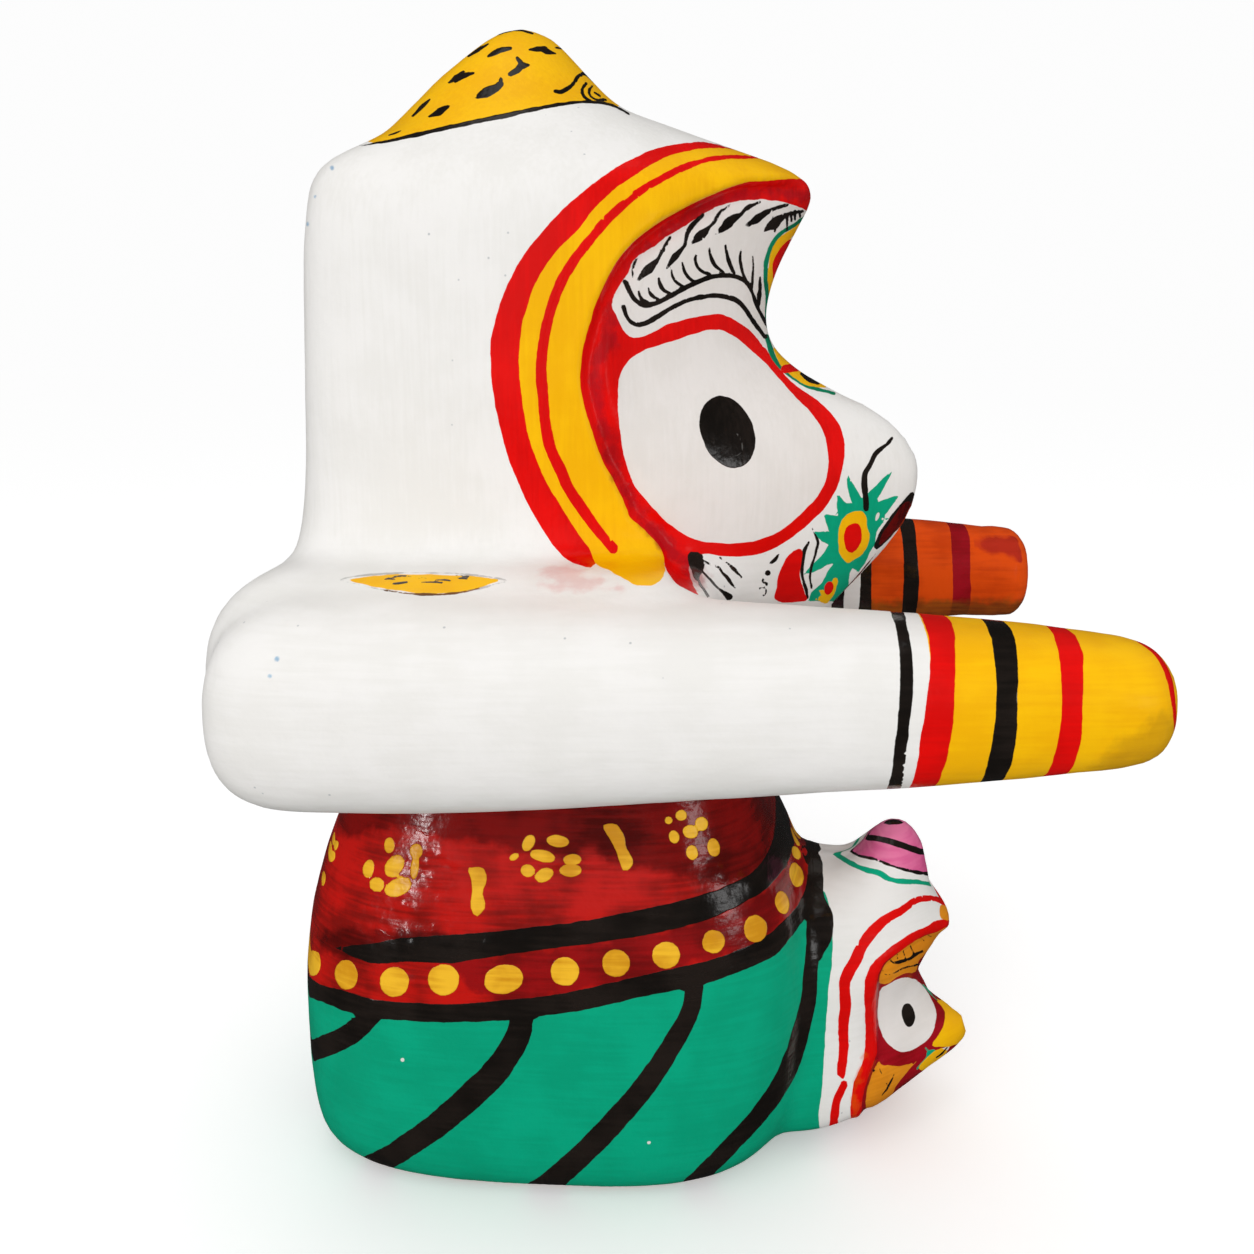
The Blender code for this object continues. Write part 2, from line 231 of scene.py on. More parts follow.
EMBLEM_LINE = [
    (1440, 632), (1412, 650), (1330, 715), (1245, 762), (1185, 830), (1152, 900), (1133, 980),
    (1130, 1060), (1138, 1140), (1143, 1230), (1140, 1310), (1142, 1380), (1165, 1440),
]
STARBURST = [
    (1040, 225), (1078, 300), (1130, 380), (1165, 350), (1230, 290), (1305, 222), (1255, 320),
    (1200, 410), (1270, 385), (1345, 360), (1290, 440), (1240, 500), (1300, 485), (1250, 520),
    (1212, 560), (1205, 640), (1170, 690), (1150, 740), (1110, 800), (1080, 770), (1062, 800),
    (1058, 850), (1060, 890), (1020, 910), (985, 960), (900, 960), (830, 960), (845, 910),
    (905, 860), (940, 790), (975, 745), (930, 755), (900, 780), (850, 800), (800, 812),
    (850, 755), (905, 700), (945, 640), (905, 622), (850, 565), (900, 570), (950, 572),
    (935, 525), (910, 460), (955, 475), (1000, 482), (990, 430), (992, 345), (1020, 390),
    (1050, 415), (1075, 412), (1050, 330),
]
MOUTH_RIM = [
    (1410, 345), (1428, 370), (1415, 420), (1370, 510), (1300, 590), (1215, 670), (1200, 640),
    (1240, 560), (1300, 470), (1370, 390),
]
MOUTH_INSIDE = [
    (1392, 400), (1402, 430), (1362, 510), (1292, 590), (1228, 648), (1240, 592), (1300, 500),
    (1350, 430),
]
BROW_LINES = [
    ((20, 30, 30, 28, 24, 20), [
        (195, 1105), (205, 1160), (230, 1215), (270, 1250), (320, 1262), (390, 1245), (470, 1205),
        (560, 1155), (650, 1110), (740, 1075), (830, 1060), (910, 1065), (970, 1085), (1010, 1120),
        (1035, 1170), (1060, 1240), (1090, 1310), (1130, 1380), (1145, 1400),
    ]),
    ((24, 30, 30, 28, 24), [
        (165, 1275), (180, 1330), (205, 1370), (240, 1392), (280, 1393), (330, 1375), (400, 1335),
        (480, 1285), (560, 1245), (640, 1218), (720, 1203), (800, 1198), (880, 1210), (940, 1235),
        (980, 1275), (1020, 1335), (1060, 1390), (1100, 1450), (1125, 1480),
    ]),
]
BROW_HAIRS = [
    ((8, 15, 12), [(262, 1160), (270, 1195), (290, 1225), (320, 1240)]),
    ((10, 18, 14), [(330, 1145), (340, 1180), (365, 1205), (400, 1222)]),
    ((10, 22, 16), [(400, 1078), (410, 1120), (435, 1160), (480, 1185)]),
    ((10, 20, 16), [(485, 1020), (495, 1070), (525, 1110), (575, 1140)]),
    ((10, 18, 14), [(560, 970), (575, 1030), (610, 1080), (660, 1108)]),
    ((10, 20, 16), [(660, 910), (650, 950), (665, 1000), (700, 1035), (750, 1052)]),
    ((10, 22, 16), [(742, 868), (755, 930), (785, 990), (840, 1038)]),
    ((12, 24, 16), [(855, 855), (865, 920), (885, 985), (915, 1045)]),
    ((8, 18, 14), [(962, 888), (955, 950), (970, 1030), (990, 1080)]),
    ((8, 15, 12), [(1040, 925), (1045, 990), (1040, 1070), (1035, 1150)]),
    ((8, 14, 10), [(1092, 1070), (1088, 1120), (1082, 1180)]),
    ((8, 25, 8), [(1098, 1120), (1085, 1190), (1085, 1265)]),
]
BROW_LEAVES = [
    ((6, 9, 6), [(232, 1080), (250, 1010), (290, 940)]),
    ((8, 50, 12), [(250, 1110), (300, 1050), (360, 990), (405, 940)]),
    ((17, 15, 10), [(400, 945), (440, 880), (500, 800)]),
    ((8, 12), [(400, 880), (440, 895)]),
    ((8, 36, 12), [(455, 1015), (490, 960), (540, 900), (580, 855)]),
    ((14, 20, 14), [(580, 855), (600, 780), (640, 730), (730, 655)]),
    ((8, 50, 16), [(615, 850), (660, 810), (710, 770), (745, 732)]),
    ((16, 16, 10), [(745, 735), (780, 700), (830, 640), (920, 585)]),
    ((8, 55, 18), [(790, 775), (850, 730), (900, 680), (970, 640)]),
    ((20, 25, 10), [(965, 642), (1010, 600), (1100, 565)]),
    ((8, 45, 25, 10), [(980, 735), (1050, 690), (1100, 650), (1180, 610), (1290, 575)]),
    ((8, 60, 20, 12), [(1112, 760), (1170, 720), (1230, 670), (1290, 640), (1390, 620)]),
    ((8, 20), [(1190, 760), (1200, 700)]),
    ((8, 18), [(1275, 750), (1275, 650)]),
    ((8, 14), [(1305, 690), (1300, 630)]),
    ((8, 14), [(1330, 680), (1330, 620)]),
    ((8, 14), [(1365, 660), (1355, 620)]),
]
CHEEK_LINES = [
    ((12, 12, 14, 22, 10), [
        (245, 735), (290, 755), (330, 770), (350, 800), (375, 825), (400, 860), (425, 888),
    ]),
    ((12, 12, 14, 36), [(240, 795), (270, 825), (300, 860), (330, 890), (365, 915), (390, 935)]),
    ((12, 14, 10), [(215, 830), (235, 870), (255, 900), (280, 925)]),
    ((8, 12, 22, 10), [(335, 712), (370, 740), (400, 765), (425, 790), (455, 825)]),
    ((10, 22, 14), [(665, 695), (645, 725), (620, 745)]),
    ((10, 13, 10), [(580, 830), (575, 850), (600, 860), (595, 872)]),
    ((11, 11), [(552, 905), (556, 888), (572, 882), (590, 890), (594, 906), (585, 925), (570, 928)]),
    ((14, 20, 18, 18), [
        (835, 625), (810, 670), (798, 730), (795, 800), (805, 850), (820, 900), (825, 940),
    ]),
    ((10, 16, 16, 14), [
        (850, 545), (870, 590), (885, 630), (875, 680), (860, 730), (845, 780), (840, 830),
        (850, 885),
    ]),
    ((14, 26, 28, 34, 38, 30), [
        (1300, 45), (1270, 80), (1210, 130), (1180, 190), (1150, 240), (1145, 300), (1150, 360),
        (1155, 440),
    ]),
]
CROWN_LINE = [
    (598, 416), (640, 409), (700, 398), (800, 375), (900, 352), (1000, 332), (1100, 310),
    (1180, 296), (1240, 291), (1290, 294), (1330, 306), (1366, 326),
]
CROWN_MARKS = [
    ((5, 9, 5), [(908, 160), (935, 144), (965, 125)]),
    ((5, 13, 15, 7), [(962, 162), (985, 150), (1005, 142), (1028, 138)]),
    ((6, 15, 6), [(1080, 142), (1105, 140), (1128, 136)]),
    ((6, 15, 5), [(1108, 138), (1130, 146), (1156, 153)]),
    ((5, 6, 5), [(1155, 136), (1175, 138), (1195, 142)]),
    ((6, 16, 12), [(1047, 165), (1058, 183), (1050, 198), (1027, 212)]),
    ((12, 16, 5), [(1055, 192), (1064, 188), (1080, 186)]),
    ((5, 15, 5), [(850, 236), (872, 222), (894, 204)]),
    ((5, 14, 6), [(870, 232), (895, 216), (922, 208)]),
    ((6, 25, 20), [(926, 280), (955, 265), (985, 252)]),
    ((18, 14, 8), [(980, 256), (1000, 242), (1001, 224)]),
    ((5, 11, 5), [(749, 331), (775, 305), (798, 283)]),
    ((5, 18, 6), [(794, 333), (825, 318), (852, 302)]),
    ((4, 5, 4), [(680, 386), (700, 379), (715, 373)]),
    ((9, 10, 9, 9, 7), [
        (1155, 260), (1172, 262), (1192, 252), (1208, 238), (1220, 218), (1240, 210), (1256, 220),
        (1270, 235),
    ]),
    ((7, 8, 7), [(1243, 238), (1232, 255), (1237, 275), (1258, 290)]),
    ((6, 7, 6), [(1260, 246), (1251, 260), (1257, 275), (1275, 285), (1298, 284)]),
    ((5, 6), [(1268, 264), (1282, 273)]),
    ((5, 7, 5), [(985, 99), (1015, 90), (1050, 85), (1090, 95)]),
]
SHOULDER_MARKS = [
    ((3, 5, 3), [(640, 187), (655, 184), (672, 186)]),
    ((4, 6, 4), [(668, 200), (690, 198), (712, 195)]),
    ((4, 6, 4), [(755, 196), (788, 195), (822, 197)]),
    ((3, 4, 3), [(748, 183), (760, 181), (775, 183)]),
    ((4, 6, 4), [(800, 190), (825, 187), (848, 190)]),
    ((3, 4, 3), [(820, 178), (832, 176), (845, 178)]),
    ((3, 5, 3), [(672, 178), (700, 175), (730, 178)]),
    ((3, 4, 3), [(870, 184), (885, 182), (900, 184)]),
    ((3, 4, 3), [(850, 174), (880, 174), (905, 178)]),
]
FOLDS = [
    ((50, 62, 62, 54), [(205, 628), (165, 665), (110, 700), (40, 728), (-40, 750)]),
    ((64, 72, 76, 70, 64, 60), [
        (622, 640), (605, 700), (550, 785), (480, 855), (400, 925), (310, 990), (235, 1035),
        (150, 1070),
    ]),
    ((50, 54, 60, 64, 64, 66), [
        (1105, 550), (1092, 620), (1050, 700), (1000, 780), (940, 860), (860, 950), (780, 1030),
        (700, 1100), (640, 1140),
    ]),
    ((40, 38, 42, 48, 52, 48, 46, 46), [
        (1437, 320), (1436, 420), (1430, 500), (1424, 580), (1405, 665), (1383, 740), (1350, 815),
        (1300, 890), (1230, 970), (1130, 1072), (1080, 1120),
    ]),
]
NECK_LINE = [
    (112, 300), (130, 288), (160, 306), (175, 345), (178, 400), (180, 470), (195, 510),
    (215, 550), (222, 590), (217, 640), (203, 680), (180, 715), (165, 745), (120, 720),
    (122, 560), (114, 520), (106, 470), (118, 400),
]
BELT_DOTS = [
    (38, 485, 20, 36, 0), (130, 517, 32, 42, -8), (265, 537, 42, 42, 0), (402, 532, 44, 44, 0),
    (570, 530, 56, 41, -12), (742, 508, 40, 40, 0), (885, 485, 39, 39, 0), (1025, 462, 39, 38, 0),
    (1158, 425, 32, 33, 0), (1275, 388, 33, 38, 0), (1350, 315, 20, 33, -10), (1390, 238, 19, 35, -12),
    (1390, 176, 11, 20, -20),
]
FLOWER_DABS = [
    (250, 155, 14, 22, 0), (325, 172, 18, 22, 0), (192, 220, 15, 25, 10), (265, 212, 24, 34, 35),
    (215, 265, 20, 20, 0), (322, 212, 12, 38, 8), (275, 272, 40, 24, -25), (640, 148, 16, 24, 30),
    (722, 143, 32, 17, 8), (600, 187, 15, 9, -30), (680, 185, 36, 17, 12), (638, 226, 20, 18, 0),
    (762, 195, 25, 16, 0), (757, 225, 32, 18, 0), (684, 238, 28, 18, -25), (1068, 70, 16, 15, 0),
    (1125, 95, 18, 20, -10), (1032, 85, 10, 10, 0), (1048, 132, 15, 18, -20), (1093, 117, 22, 19, 10),
    (1098, 175, 16, 20, -15), (1158, 160, 18, 26, -10), (88, 185, 10, 16, 10), (101, 155, 6, 13, 10),
    (66, 250, 5, 18, 8),
]
GOLD_BARS = [
    [(470, 222), (490, 216), (515, 220), (523, 250), (512, 290), (520, 325), (505, 345),
     (490, 353), (477, 320), (482, 262)],
    [(848, 102), (868, 95), (888, 98), (910, 130), (912, 160), (933, 200), (910, 230), (892, 190),
     (870, 140)],
]
LIFTED_WHITE_SPECKS = [(287, 755, 6, 6, 0), (977, 987, 4, 4, 0)]
SMALL_EYE = [
    (520, 815), (560, 825), (590, 850), (615, 885), (635, 925), (645, 965), (640, 1010),
    (625, 1050), (600, 1080), (565, 1105), (520, 1120), (480, 1115), (450, 1090), (425, 1050),
    (412, 1000), (410, 950), (415, 900), (430, 860), (460, 835), (490, 820),
]
SMALL_BROW = [
    (690, 605), (650, 628), (600, 645), (550, 672), (500, 707), (455, 745), (428, 780),
    (415, 830), (420, 848), (450, 840), (480, 815), (520, 797), (562, 790), (570, 750),
    (600, 715), (640, 680), (700, 650),
]
SMALL_CHEEK = [
    (412, 1165), (425, 1178), (450, 1176), (490, 1180), (545, 1168), (562, 1160), (520, 1210),
    (480, 1262), (455, 1320), (430, 1400), (380, 1420), (362, 1368), (362, 1320), (368, 1275),
    (385, 1220),
]
SMALL_NOSE = [
    (648, 910), (690, 928), (740, 950), (800, 990), (800, 1060), (740, 1085), (695, 1100),
    (655, 1102), (628, 1092), (660, 1045), (678, 1000), (681, 960), (665, 930),
]
SMALL_CONTOUR = [
    (740, 540), (690, 512), (640, 490), (590, 490), (550, 503), (500, 540), (470, 555), (430, 580),
    (390, 615), (360, 650), (330, 700), (310, 750), (285, 790), (268, 830), (268, 880),
    (270, 940), (262, 1000), (262, 1060), (262, 1120), (255, 1180), (252, 1215),
]
SMALL_CROWN_EDGE = [
    (250, 262), (285, 288), (330, 313), (390, 326), (440, 346), (500, 366), (550, 378),
    (600, 386), (640, 392),
]


def moved(points, across, down):
    return [(x + across, y + down) for x, y in points]


def strokes(window, rows, bolder=1.0):
    return [stroke(window, [bolder * w for w in widths], points) for widths, points in rows]


def spots(window, rows):
    return [spot(window, (x, y), (wide, high), turn) for x, y, wide, high, turn in rows]

# Each coat in the order it goes on, painted shade and highlight among them: its pigment, and its shapes
# in each part of the carving
COATS = {
    "body_red": ("deep_red", {
        "lower": [
            area(BODY, [(-300, -300), (1438, -300), (1438, 300)]
                 + moved(BELT_BOTTOM[:-3], 4, 20)[::-1] + [(-300, 480)], sharp=True),
        ],
    }),
    # painted shadow of the arms over the body's top, and a real dark wash where the black band starts
    "arm_shadow_and_band_wash": ("maroon", {"lower": [area(BODY, UNDER_ARM_SHADOW_AND_DARK_RED), area(BODY, BAND_WASH)]}),
    "belt_shade": ("oxblood", {"lower": [area(BODY, BAND_BOTTOM[3:] + BELT_BOTTOM[:7:-1])]}),
    "enamel_red": ("red", {
        "head": [
            area(FACE, RIM_OUTSIDE + RIM_LINE[::-1]),
            area(FACE, RIM_INSIDE + FACE_CORNER + EYE_RING + [(1000, 500), (1100, 330), (1110, 190)]),
            stroke(FACE, 16, RIM_INSIDE[:-1]),
        ],
        "lower": [
            area(SMALL, SMALL_RIM_OUTSIDE + [(1000, 1500), (1000, 540)], sharp=True),
        ],
    }),
    "enamel_yellow": ("yellow", {
        "head": [
            area(FACE, RIM_YELLOW + [(420, 1420), (480, 1455), (530, 1462), (570, 1440)]
                 + RIM_INSIDE[::-1] + [(1060, 195), (1010, 160), (950, 130), (880, 105)]),
            area(CROWN, CROWN_LINE[1:-1] + [
                (1600, 200), (1300, -100), (800, -100), (500, 200), (612, 400),
            ], sharp=True),
        ],
        "arms": ["yellow_hand"],
        "shoulder": [area(SHOULDER, SHOULDER_DISC)],
    }),
    # painted shade: a darker crimson inside the face's rim, along the crease under it
    "crease_painted_shade": ("crimson", {"head": [stroke(FACE, (30, 34, 34, 40, 40, 36), CREASE_LINE)]}),
    "arm_orange": ("orange", {"arms": ["orange_hand"]}),
    "dark_crimson": ("crimson", {
        "arms": ["crimson_hand_ring"],
        "lower": [area(SMALL, SMALL_RIM_INSIDE + [(1000, 1500), (1000, 600)], sharp=True)],
    }),
    "small_ochre": ("ochre", {
        "lower": [
            area(SMALL, SMALL_BROW),
            area(SMALL, SMALL_CHEEK),
            area(SMALL, [(665, 515), (720, 530), (730, 572), (668, 574), (658, 545)]),
        ],
    }),
    "red_lines": ("red", {
        "head": [stroke(FACE, (8, 24, 32, 34, 36, 32), RIM_LINE)],
        "lower": [
            stroke(SMALL, (22, 24, 34, 46, 50, 46, 42, 36), SMALL_CONTOUR),
            stroke(SMALL, (26, 34, 36, 38), [
                (268, 1250), (248, 1290), (230, 1340), (222, 1415), (222, 1460),
            ]),
        ],
        "arms": ["red_hand_rings"],
        "right_hand": [stroke(FRONT, (1.6, 2.1, 1.6), RIGHT_HAND_RING)],
    }),
    # painted highlight: lighter orange along the small face's left edge, where the rim catches the
    # light
    "small_edge_painted_glint": ("orange", {"lower": [
        stroke(SMALL, (12, 24, 28, 26), [
            (352, 1140), (330, 1190), (312, 1260), (303, 1330), (303, 1400),
        ]),
    ]}),
    # a weak brown darkening low on each hand's end, with a wandering edge
    "hand_end_darkening": ("umber", {"arms": [area(HAND, HAND_DARKER_PATCH)]}),
    # painted shade: brown darkening the left arm's lower part
    "far_arm_painted_shade": ("umber", {"left_low": ["everywhere"]}),
    "hand_dash": ("crimson", {"left_hand": [stroke(FRONT, (1.2, 2.6, 1.4), LEFT_HAND_DASH)]}),
    "white_lead": ("white", {
        "head": [area(BROW, BROW_WHITE), area(FACE, EYE_WHITE)],
        "lower": [
            area(SMALL, SMALL_EYE),
            area(SMALL, [(640, 1118), (700, 1100), (660, 1145), (620, 1165), (605, 1150)]),
        ],
    }),
    "crown_pink": ("pink", {
        "lower": [
            area(SMALL, SMALL_CROWN_EDGE + [(720, 400), (720, 40), (330, 40), (230, 215)], sharp=True),
        ],
    }),
    "emblem_green": ("bottle_green", {
        "head": [
            stroke(BROW, (20, 34, 34), EMBLEM_LINE),
            stroke(FACE, (16, 16, 14, 10), [
                (900, 680), (905, 700), (925, 750), (960, 790), (1010, 825), (1060, 845),
                (1110, 857),
            ]),
        ],
    }),
    "leaf_green": ("green", {
        "head": [area(MOUTH, STARBURST, sharp=True)],
        "lower": [
            area(BODY, moved(LOW_BAND_BOTTOM, -4, -20) + [
                (1475, 300), (1492, 430), (1480, 560), (1470, 700), (1463, 820), (1452, 910),
                (1456, 960), (1460, 1100), (1300, 1350), (-100, 1350), (-150, 500),
            ]),
            stroke(SMALL, (14, 20, 20, 24, 20, 18), [
                (180, 265), (195, 278), (225, 300), (260, 325), (310, 352), (360, 372), (410, 385),
                (450, 408), (500, 418), (560, 420), (640, 432),
            ]),
            stroke(SMALL, (6, 10, 8), [(590, 845), (630, 888), (660, 910), (700, 932)]),
            stroke(SMALL, (8, 12, 10), [(565, 1192), (600, 1158), (618, 1128), (600, 1105)]),
            area(SMALL, [(606, 1120), (640, 1112), (645, 1140), (630, 1156), (612, 1148)]),
        ],
    }),
    "fine_yellow": ("yellow", {
        "head": [
            stroke(BROW, (20, 60, 62, 50, 20), [
                (1400, 688), (1315, 765), (1240, 830), (1195, 910), (1178, 990), (1170, 1080),
                (1170, 1180), (1165, 1260),
            ]),
            area(FACE, [
                (922, 712), (960, 745), (1000, 765), (1050, 800), (1085, 836), (1045, 836),
                (1003, 822), (962, 789), (934, 756),
            ]),
            area(MOUTH, [
                (1000, 600), (1005, 540), (1030, 490), (1075, 460), (1125, 455), (1155, 490),
                (1160, 540), (1175, 590), (1165, 640), (1130, 700), (1080, 730), (1045, 745),
                (1010, 700), (1000, 650),
            ]),
            area(MOUTH, [
                (865, 950), (905, 930), (890, 890), (930, 900), (985, 815), (995, 850),
                (975, 920), (935, 975),
            ], sharp=True),
        ],
        "lower": [
            area(SMALL, SMALL_NOSE),
            area(SMALL, [(572, 1188), (600, 1198), (650, 1160), (690, 1120), (650, 1110), (602, 1152)]),
        ],
    }),
    "lamp_black": ("black", {
        "head": [
            *strokes(BROW, BROW_LINES, bolder=1.15),
            *strokes(BROW, BROW_HAIRS, bolder=1.35),
            *strokes(BROW, BROW_LEAVES, bolder=1.3),
            spot(FACE, (776, 979), (82, 118), -22),
            area(MOUTH, [
                (160, 690), (185, 680), (225, 685), (240, 700), (240, 730), (250, 760),
                (240, 790), (215, 835), (200, 830), (180, 780), (158, 730),
            ]),
            *strokes(MOUTH, CHEEK_LINES),
            spot(MOUTH, (602, 800), (16, 17)),
            area(MOUTH, MOUTH_RIM),
            stroke(CROWN, (3, 9, 14, 14, 9, 8, 6), CROWN_LINE),
            *strokes(CROWN, CROWN_MARKS, bolder=1.2),
            stroke(FACE, (12, 16, 10), [(1010, 795), (1030, 812), (1060, 826)]),
            stroke(MOUTH, (6, 10, 8), [(1440, 95), (1455, 155)]),
        ],
        "lower": [
            area(BODY, BAND_TOP + BAND_BOTTOM[::-1]),
            area(BODY, BELT_BOTTOM + LOW_BAND_BOTTOM[::-1]),
            *strokes(BODY, FOLDS),
            area(SMALL, NECK_LINE),
            stroke(SMALL, (8, 10, 10, 12, 14, 18), SMALL_CROWN_EDGE),
            stroke(SMALL, (16, 24, 26, 26, 26), [
                (310, 212), (345, 234), (400, 241), (450, 252), (500, 268), (560, 289), (640, 305),
            ]),
            spot(SMALL, (462, 150), (68, 34), 4),
            stroke(SMALL, (4, 7, 4), [(645, 1145), (668, 1128), (690, 1102)]),
            area(SMALL, [(246, 258), (292, 258), (294, 300), (262, 284)], sharp=True),
            spot(SMALL, (530, 970), (27, 50), -8),
            stroke(SMALL, (8, 11, 10), [
                (458, 740), (470, 757), (500, 752), (540, 735), (565, 718), (590, 706),
            ]),
            stroke(SMALL, (4, 6), [(486, 716), (494, 745)]),
            stroke(SMALL, (4, 6), [(515, 705), (522, 738)]),
            stroke(SMALL, (4, 6), [(545, 688), (555, 718)]),
            stroke(SMALL, (4, 6), [(585, 655), (602, 668)]),
            stroke(SMALL, (4, 6), [(612, 640), (630, 652)]),
            stroke(SMALL, (5, 6, 5), [
                (428, 785), (440, 806), (470, 797), (510, 776), (550, 766), (572, 760),
            ]),
            stroke(SMALL, (5, 7, 5), [(385, 1185), (392, 1206), (402, 1190), (410, 1152)]),
            stroke(SMALL, (4, 8, 4), [(412, 1188), (420, 1212)]),
            stroke(SMALL, (4, 8, 6), [(472, 1213), (448, 1262), (420, 1302)]),
            stroke(SMALL, (4, 6, 4), [(420, 1302), (445, 1272), (438, 1252)]),
        ],
        "arms": ["black_rings"],
        "shoulder": strokes(SHOULDER, SHOULDER_MARKS),
    }),
    "belt_gold": ("gold", {
        "lower": [
            *spots(BODY, BELT_DOTS),
            *spots(BODY, FLOWER_DABS),
            *[area(BODY, bar) for bar in GOLD_BARS],
        ],
    }),
    "touch_red": ("red", {
        "head": [
            stroke(BROW, (16, 50, 50, 30), [
                (1345, 800), (1275, 850), (1225, 925), (1198, 1000), (1192, 1070),
            ]),
            stroke(FACE, (26, 30), [(956, 782), (1000, 772)]),
            area(MOUTH, [
                (1030, 610), (1040, 550), (1080, 520), (1115, 530), (1130, 580), (1125, 630),
                (1100, 670), (1070, 688), (1040, 660),
            ]),
            spot(MOUTH, (945, 885), (24, 38), 20),
            area(MOUTH, [
                (655, 960), (655, 870), (670, 800), (700, 730), (740, 680), (775, 665), (795, 680),
                (790, 740), (783, 800), (790, 850), (808, 905), (815, 960),
            ]),
        ],
    }),
    "mouth_inside": ("maroon", {"head": [
        area(MOUTH, MOUTH_INSIDE),
        stroke(MOUTH, (5, 8, 5), [(1210, 690), (1120, 802), (1040, 890), (975, 960)]),
    ]}),
    "touch_white": ("white", {
        "head": [spot(MOUTH, (1217, 487), (11, 26), 20)],
        "lower": spots(BODY, LIFTED_WHITE_SPECKS),
    }),
    "grey_touches": ("grey", {
        "head": [stroke(MOUTH, (3, 4, 4, 3), PUPIL_SCRATCH)],
        "shoulder": [stroke(SHOULDER, (3, 4, 5, 4, 3), DISC_OUTLINE)],
        "lower": [spot(SMALL, (462, 146), (36, 15), 4)],
    }),
    "disc_edge": ("umber", {"shoulder": [
        stroke(SHOULDER, (3, 6, 7, 6, 3), [(640, 220), (720, 231), (790, 234), (860, 230), (940, 214)]),
    ]}),
    "blue_touches": ("blue", {
        "outer_sides": spots(SHOULDER, [(304, 436, 7, 9, 20), (282, 489, 6, 6, 0)])
        + spots(CROWN, [(519, 479, 5, 6, 0), (450, 639, 4, 6, 0), (470, 560, 3, 4, 0)]),
    }),
    "red_smear": ("rose", {"block": [
        stroke(SHOULDER, (20, 60, 50, 20), [(1150, 160), (1215, 175), (1265, 192), (1320, 196)]),
        stroke(SHOULDER, (8, 14, 8), [(1130, 204), (1240, 210), (1380, 216)]),
    ]}),
    "bare_base": ("wood", {"base": ["everywhere"]}),
}

# Coats that fade out instead of ending at an edge, painted shade and highlight among them: half the
# fade in millimetres, and how strong
GLAZES = {
    "arm_shadow_and_band_wash": (1.7, 0.80),
    "belt_shade": (1.0, 0.85),
    "crease_painted_shade": (1.2, 0.65),
    "small_edge_painted_glint": (0.9, 0.75),
    "hand_end_darkening": (1.9, 0.32),
    "far_arm_painted_shade": (1.9, 0.75),
    "hand_dash": (0.40, 0.70),
    "grey_touches": (0.12, 0.55),
    "blue_touches": (0.25, 0.70),
    "red_smear": (1.4, 0.28),
}

# Rings round the arms, in millimetres: where each starts and ends at the arm's mid height, and
# how much further forward its top is than its middle
RIGHT_RINGS = {
    "yellow_hand": [(84.9, 160.0, 0.7)],
    "red_hand_rings": [(84.4, 90.0, 1.3), (111.8, 116.4, 0.9)],
    "black_rings": [(79.0, 81.6, 0.6), (98.4, 103.1, 0.7)],
}
LEFT_RINGS = {
    "orange_hand": [(84.0, 160.0, 0.0)],
    "crimson_hand_ring": [(112.9, 118.7, -0.3)],
    "black_rings": [(74.0, 78.2, 0.0), (82.9, 86.8, 0.0), (96.9, 101.7, -0.4)],
}


def camera_axes():
    """The photograph's right, up and forward directions in the row frame."""
    down = math.atan((AIM_PIXEL[1] - VANISH_PIXEL[1]) / FOCAL_PIXELS)
    aside = math.atan((VANISH_PIXEL[0] - AIM_PIXEL[0]) * math.cos(down) / FOCAL_PIXELS)
    ahead = np.array([
        math.cos(down) * math.cos(aside), math.cos(down) * math.sin(aside), -math.sin(down),
    ])
    right = np.array([math.sin(aside), -math.cos(aside), 0.0])
    return right, np.cross(right, ahead), ahead


RIGHT, UP, AHEAD = camera_axes()


def round_the_back(points):
    """Every point moved to the right side; the body's back takes the side's paint, turned over."""
    moved_points = np.abs(points) * [1, 0, 0] + points * [0, 1, 1]
    x, y, z = moved_points.T
    angle = np.arctan2(x, y)
    behind = (z < BODY_TOP) & (y > 0) & (angle < BODY_ANGLE_SEEN)
    turned = np.where(behind, 2 * BODY_ANGLE_SEEN - angle, angle)

    def body_radius(turn):
        aside, back = np.abs(np.sin(turn)) / 0.047, np.abs(np.cos(turn)) / 0.063
        return (aside**BODY_SQUARENESS + back**BODY_SQUARENESS) ** (-1 / BODY_SQUARENESS)

    reach = np.hypot(x, y) * body_radius(turned) / body_radius(angle)
    moved_points[:, 0] = np.where(behind, reach * np.sin(turned), x)
    moved_points[:, 1] = np.where(behind, reach * np.cos(turned), y)
    return moved_points


def in_photo(points):
    """Where points of either side fall in the photograph, and the millimetres in one pixel."""
    near = round_the_back(points) * [-1, 1, 1]
    seen = near - CAMERA_PLACE
    depth = seen @ AHEAD
    across = AIM_PIXEL[0] + FOCAL_PIXELS * (seen @ RIGHT) / depth
    down = AIM_PIXEL[1] - FOCAL_PIXELS * (seen @ UP) / depth
    return np.stack([across, down], axis=1), depth * 1000 / FOCAL_PIXELS


def curve_through(points, closed, steps=4):
    """A smooth curve through given points."""
    p = np.array(points, float)
    if closed:
        p = np.concatenate([p[-1:], p, p[:2]])
    else:
        p = np.concatenate([2 * p[:1] - p[1:2], p, 2 * p[-1:] - p[-2:-1]])
    a, b, c, d = p[:-3], p[1:-2], p[2:-1], p[3:]
    rows = []
    for t in np.arange(steps) / steps:
        rows.append(
            0.5 * (2 * b + (c - a) * t + (2 * a - 5 * b + 4 * c - d) * t**2
                   + (3 * b - a - 3 * c + d) * t**3)
        )
    made = np.stack(rows, axis=1).reshape(-1, p.shape[1])
    return made if closed else np.concatenate([made, p[-2:-1]])


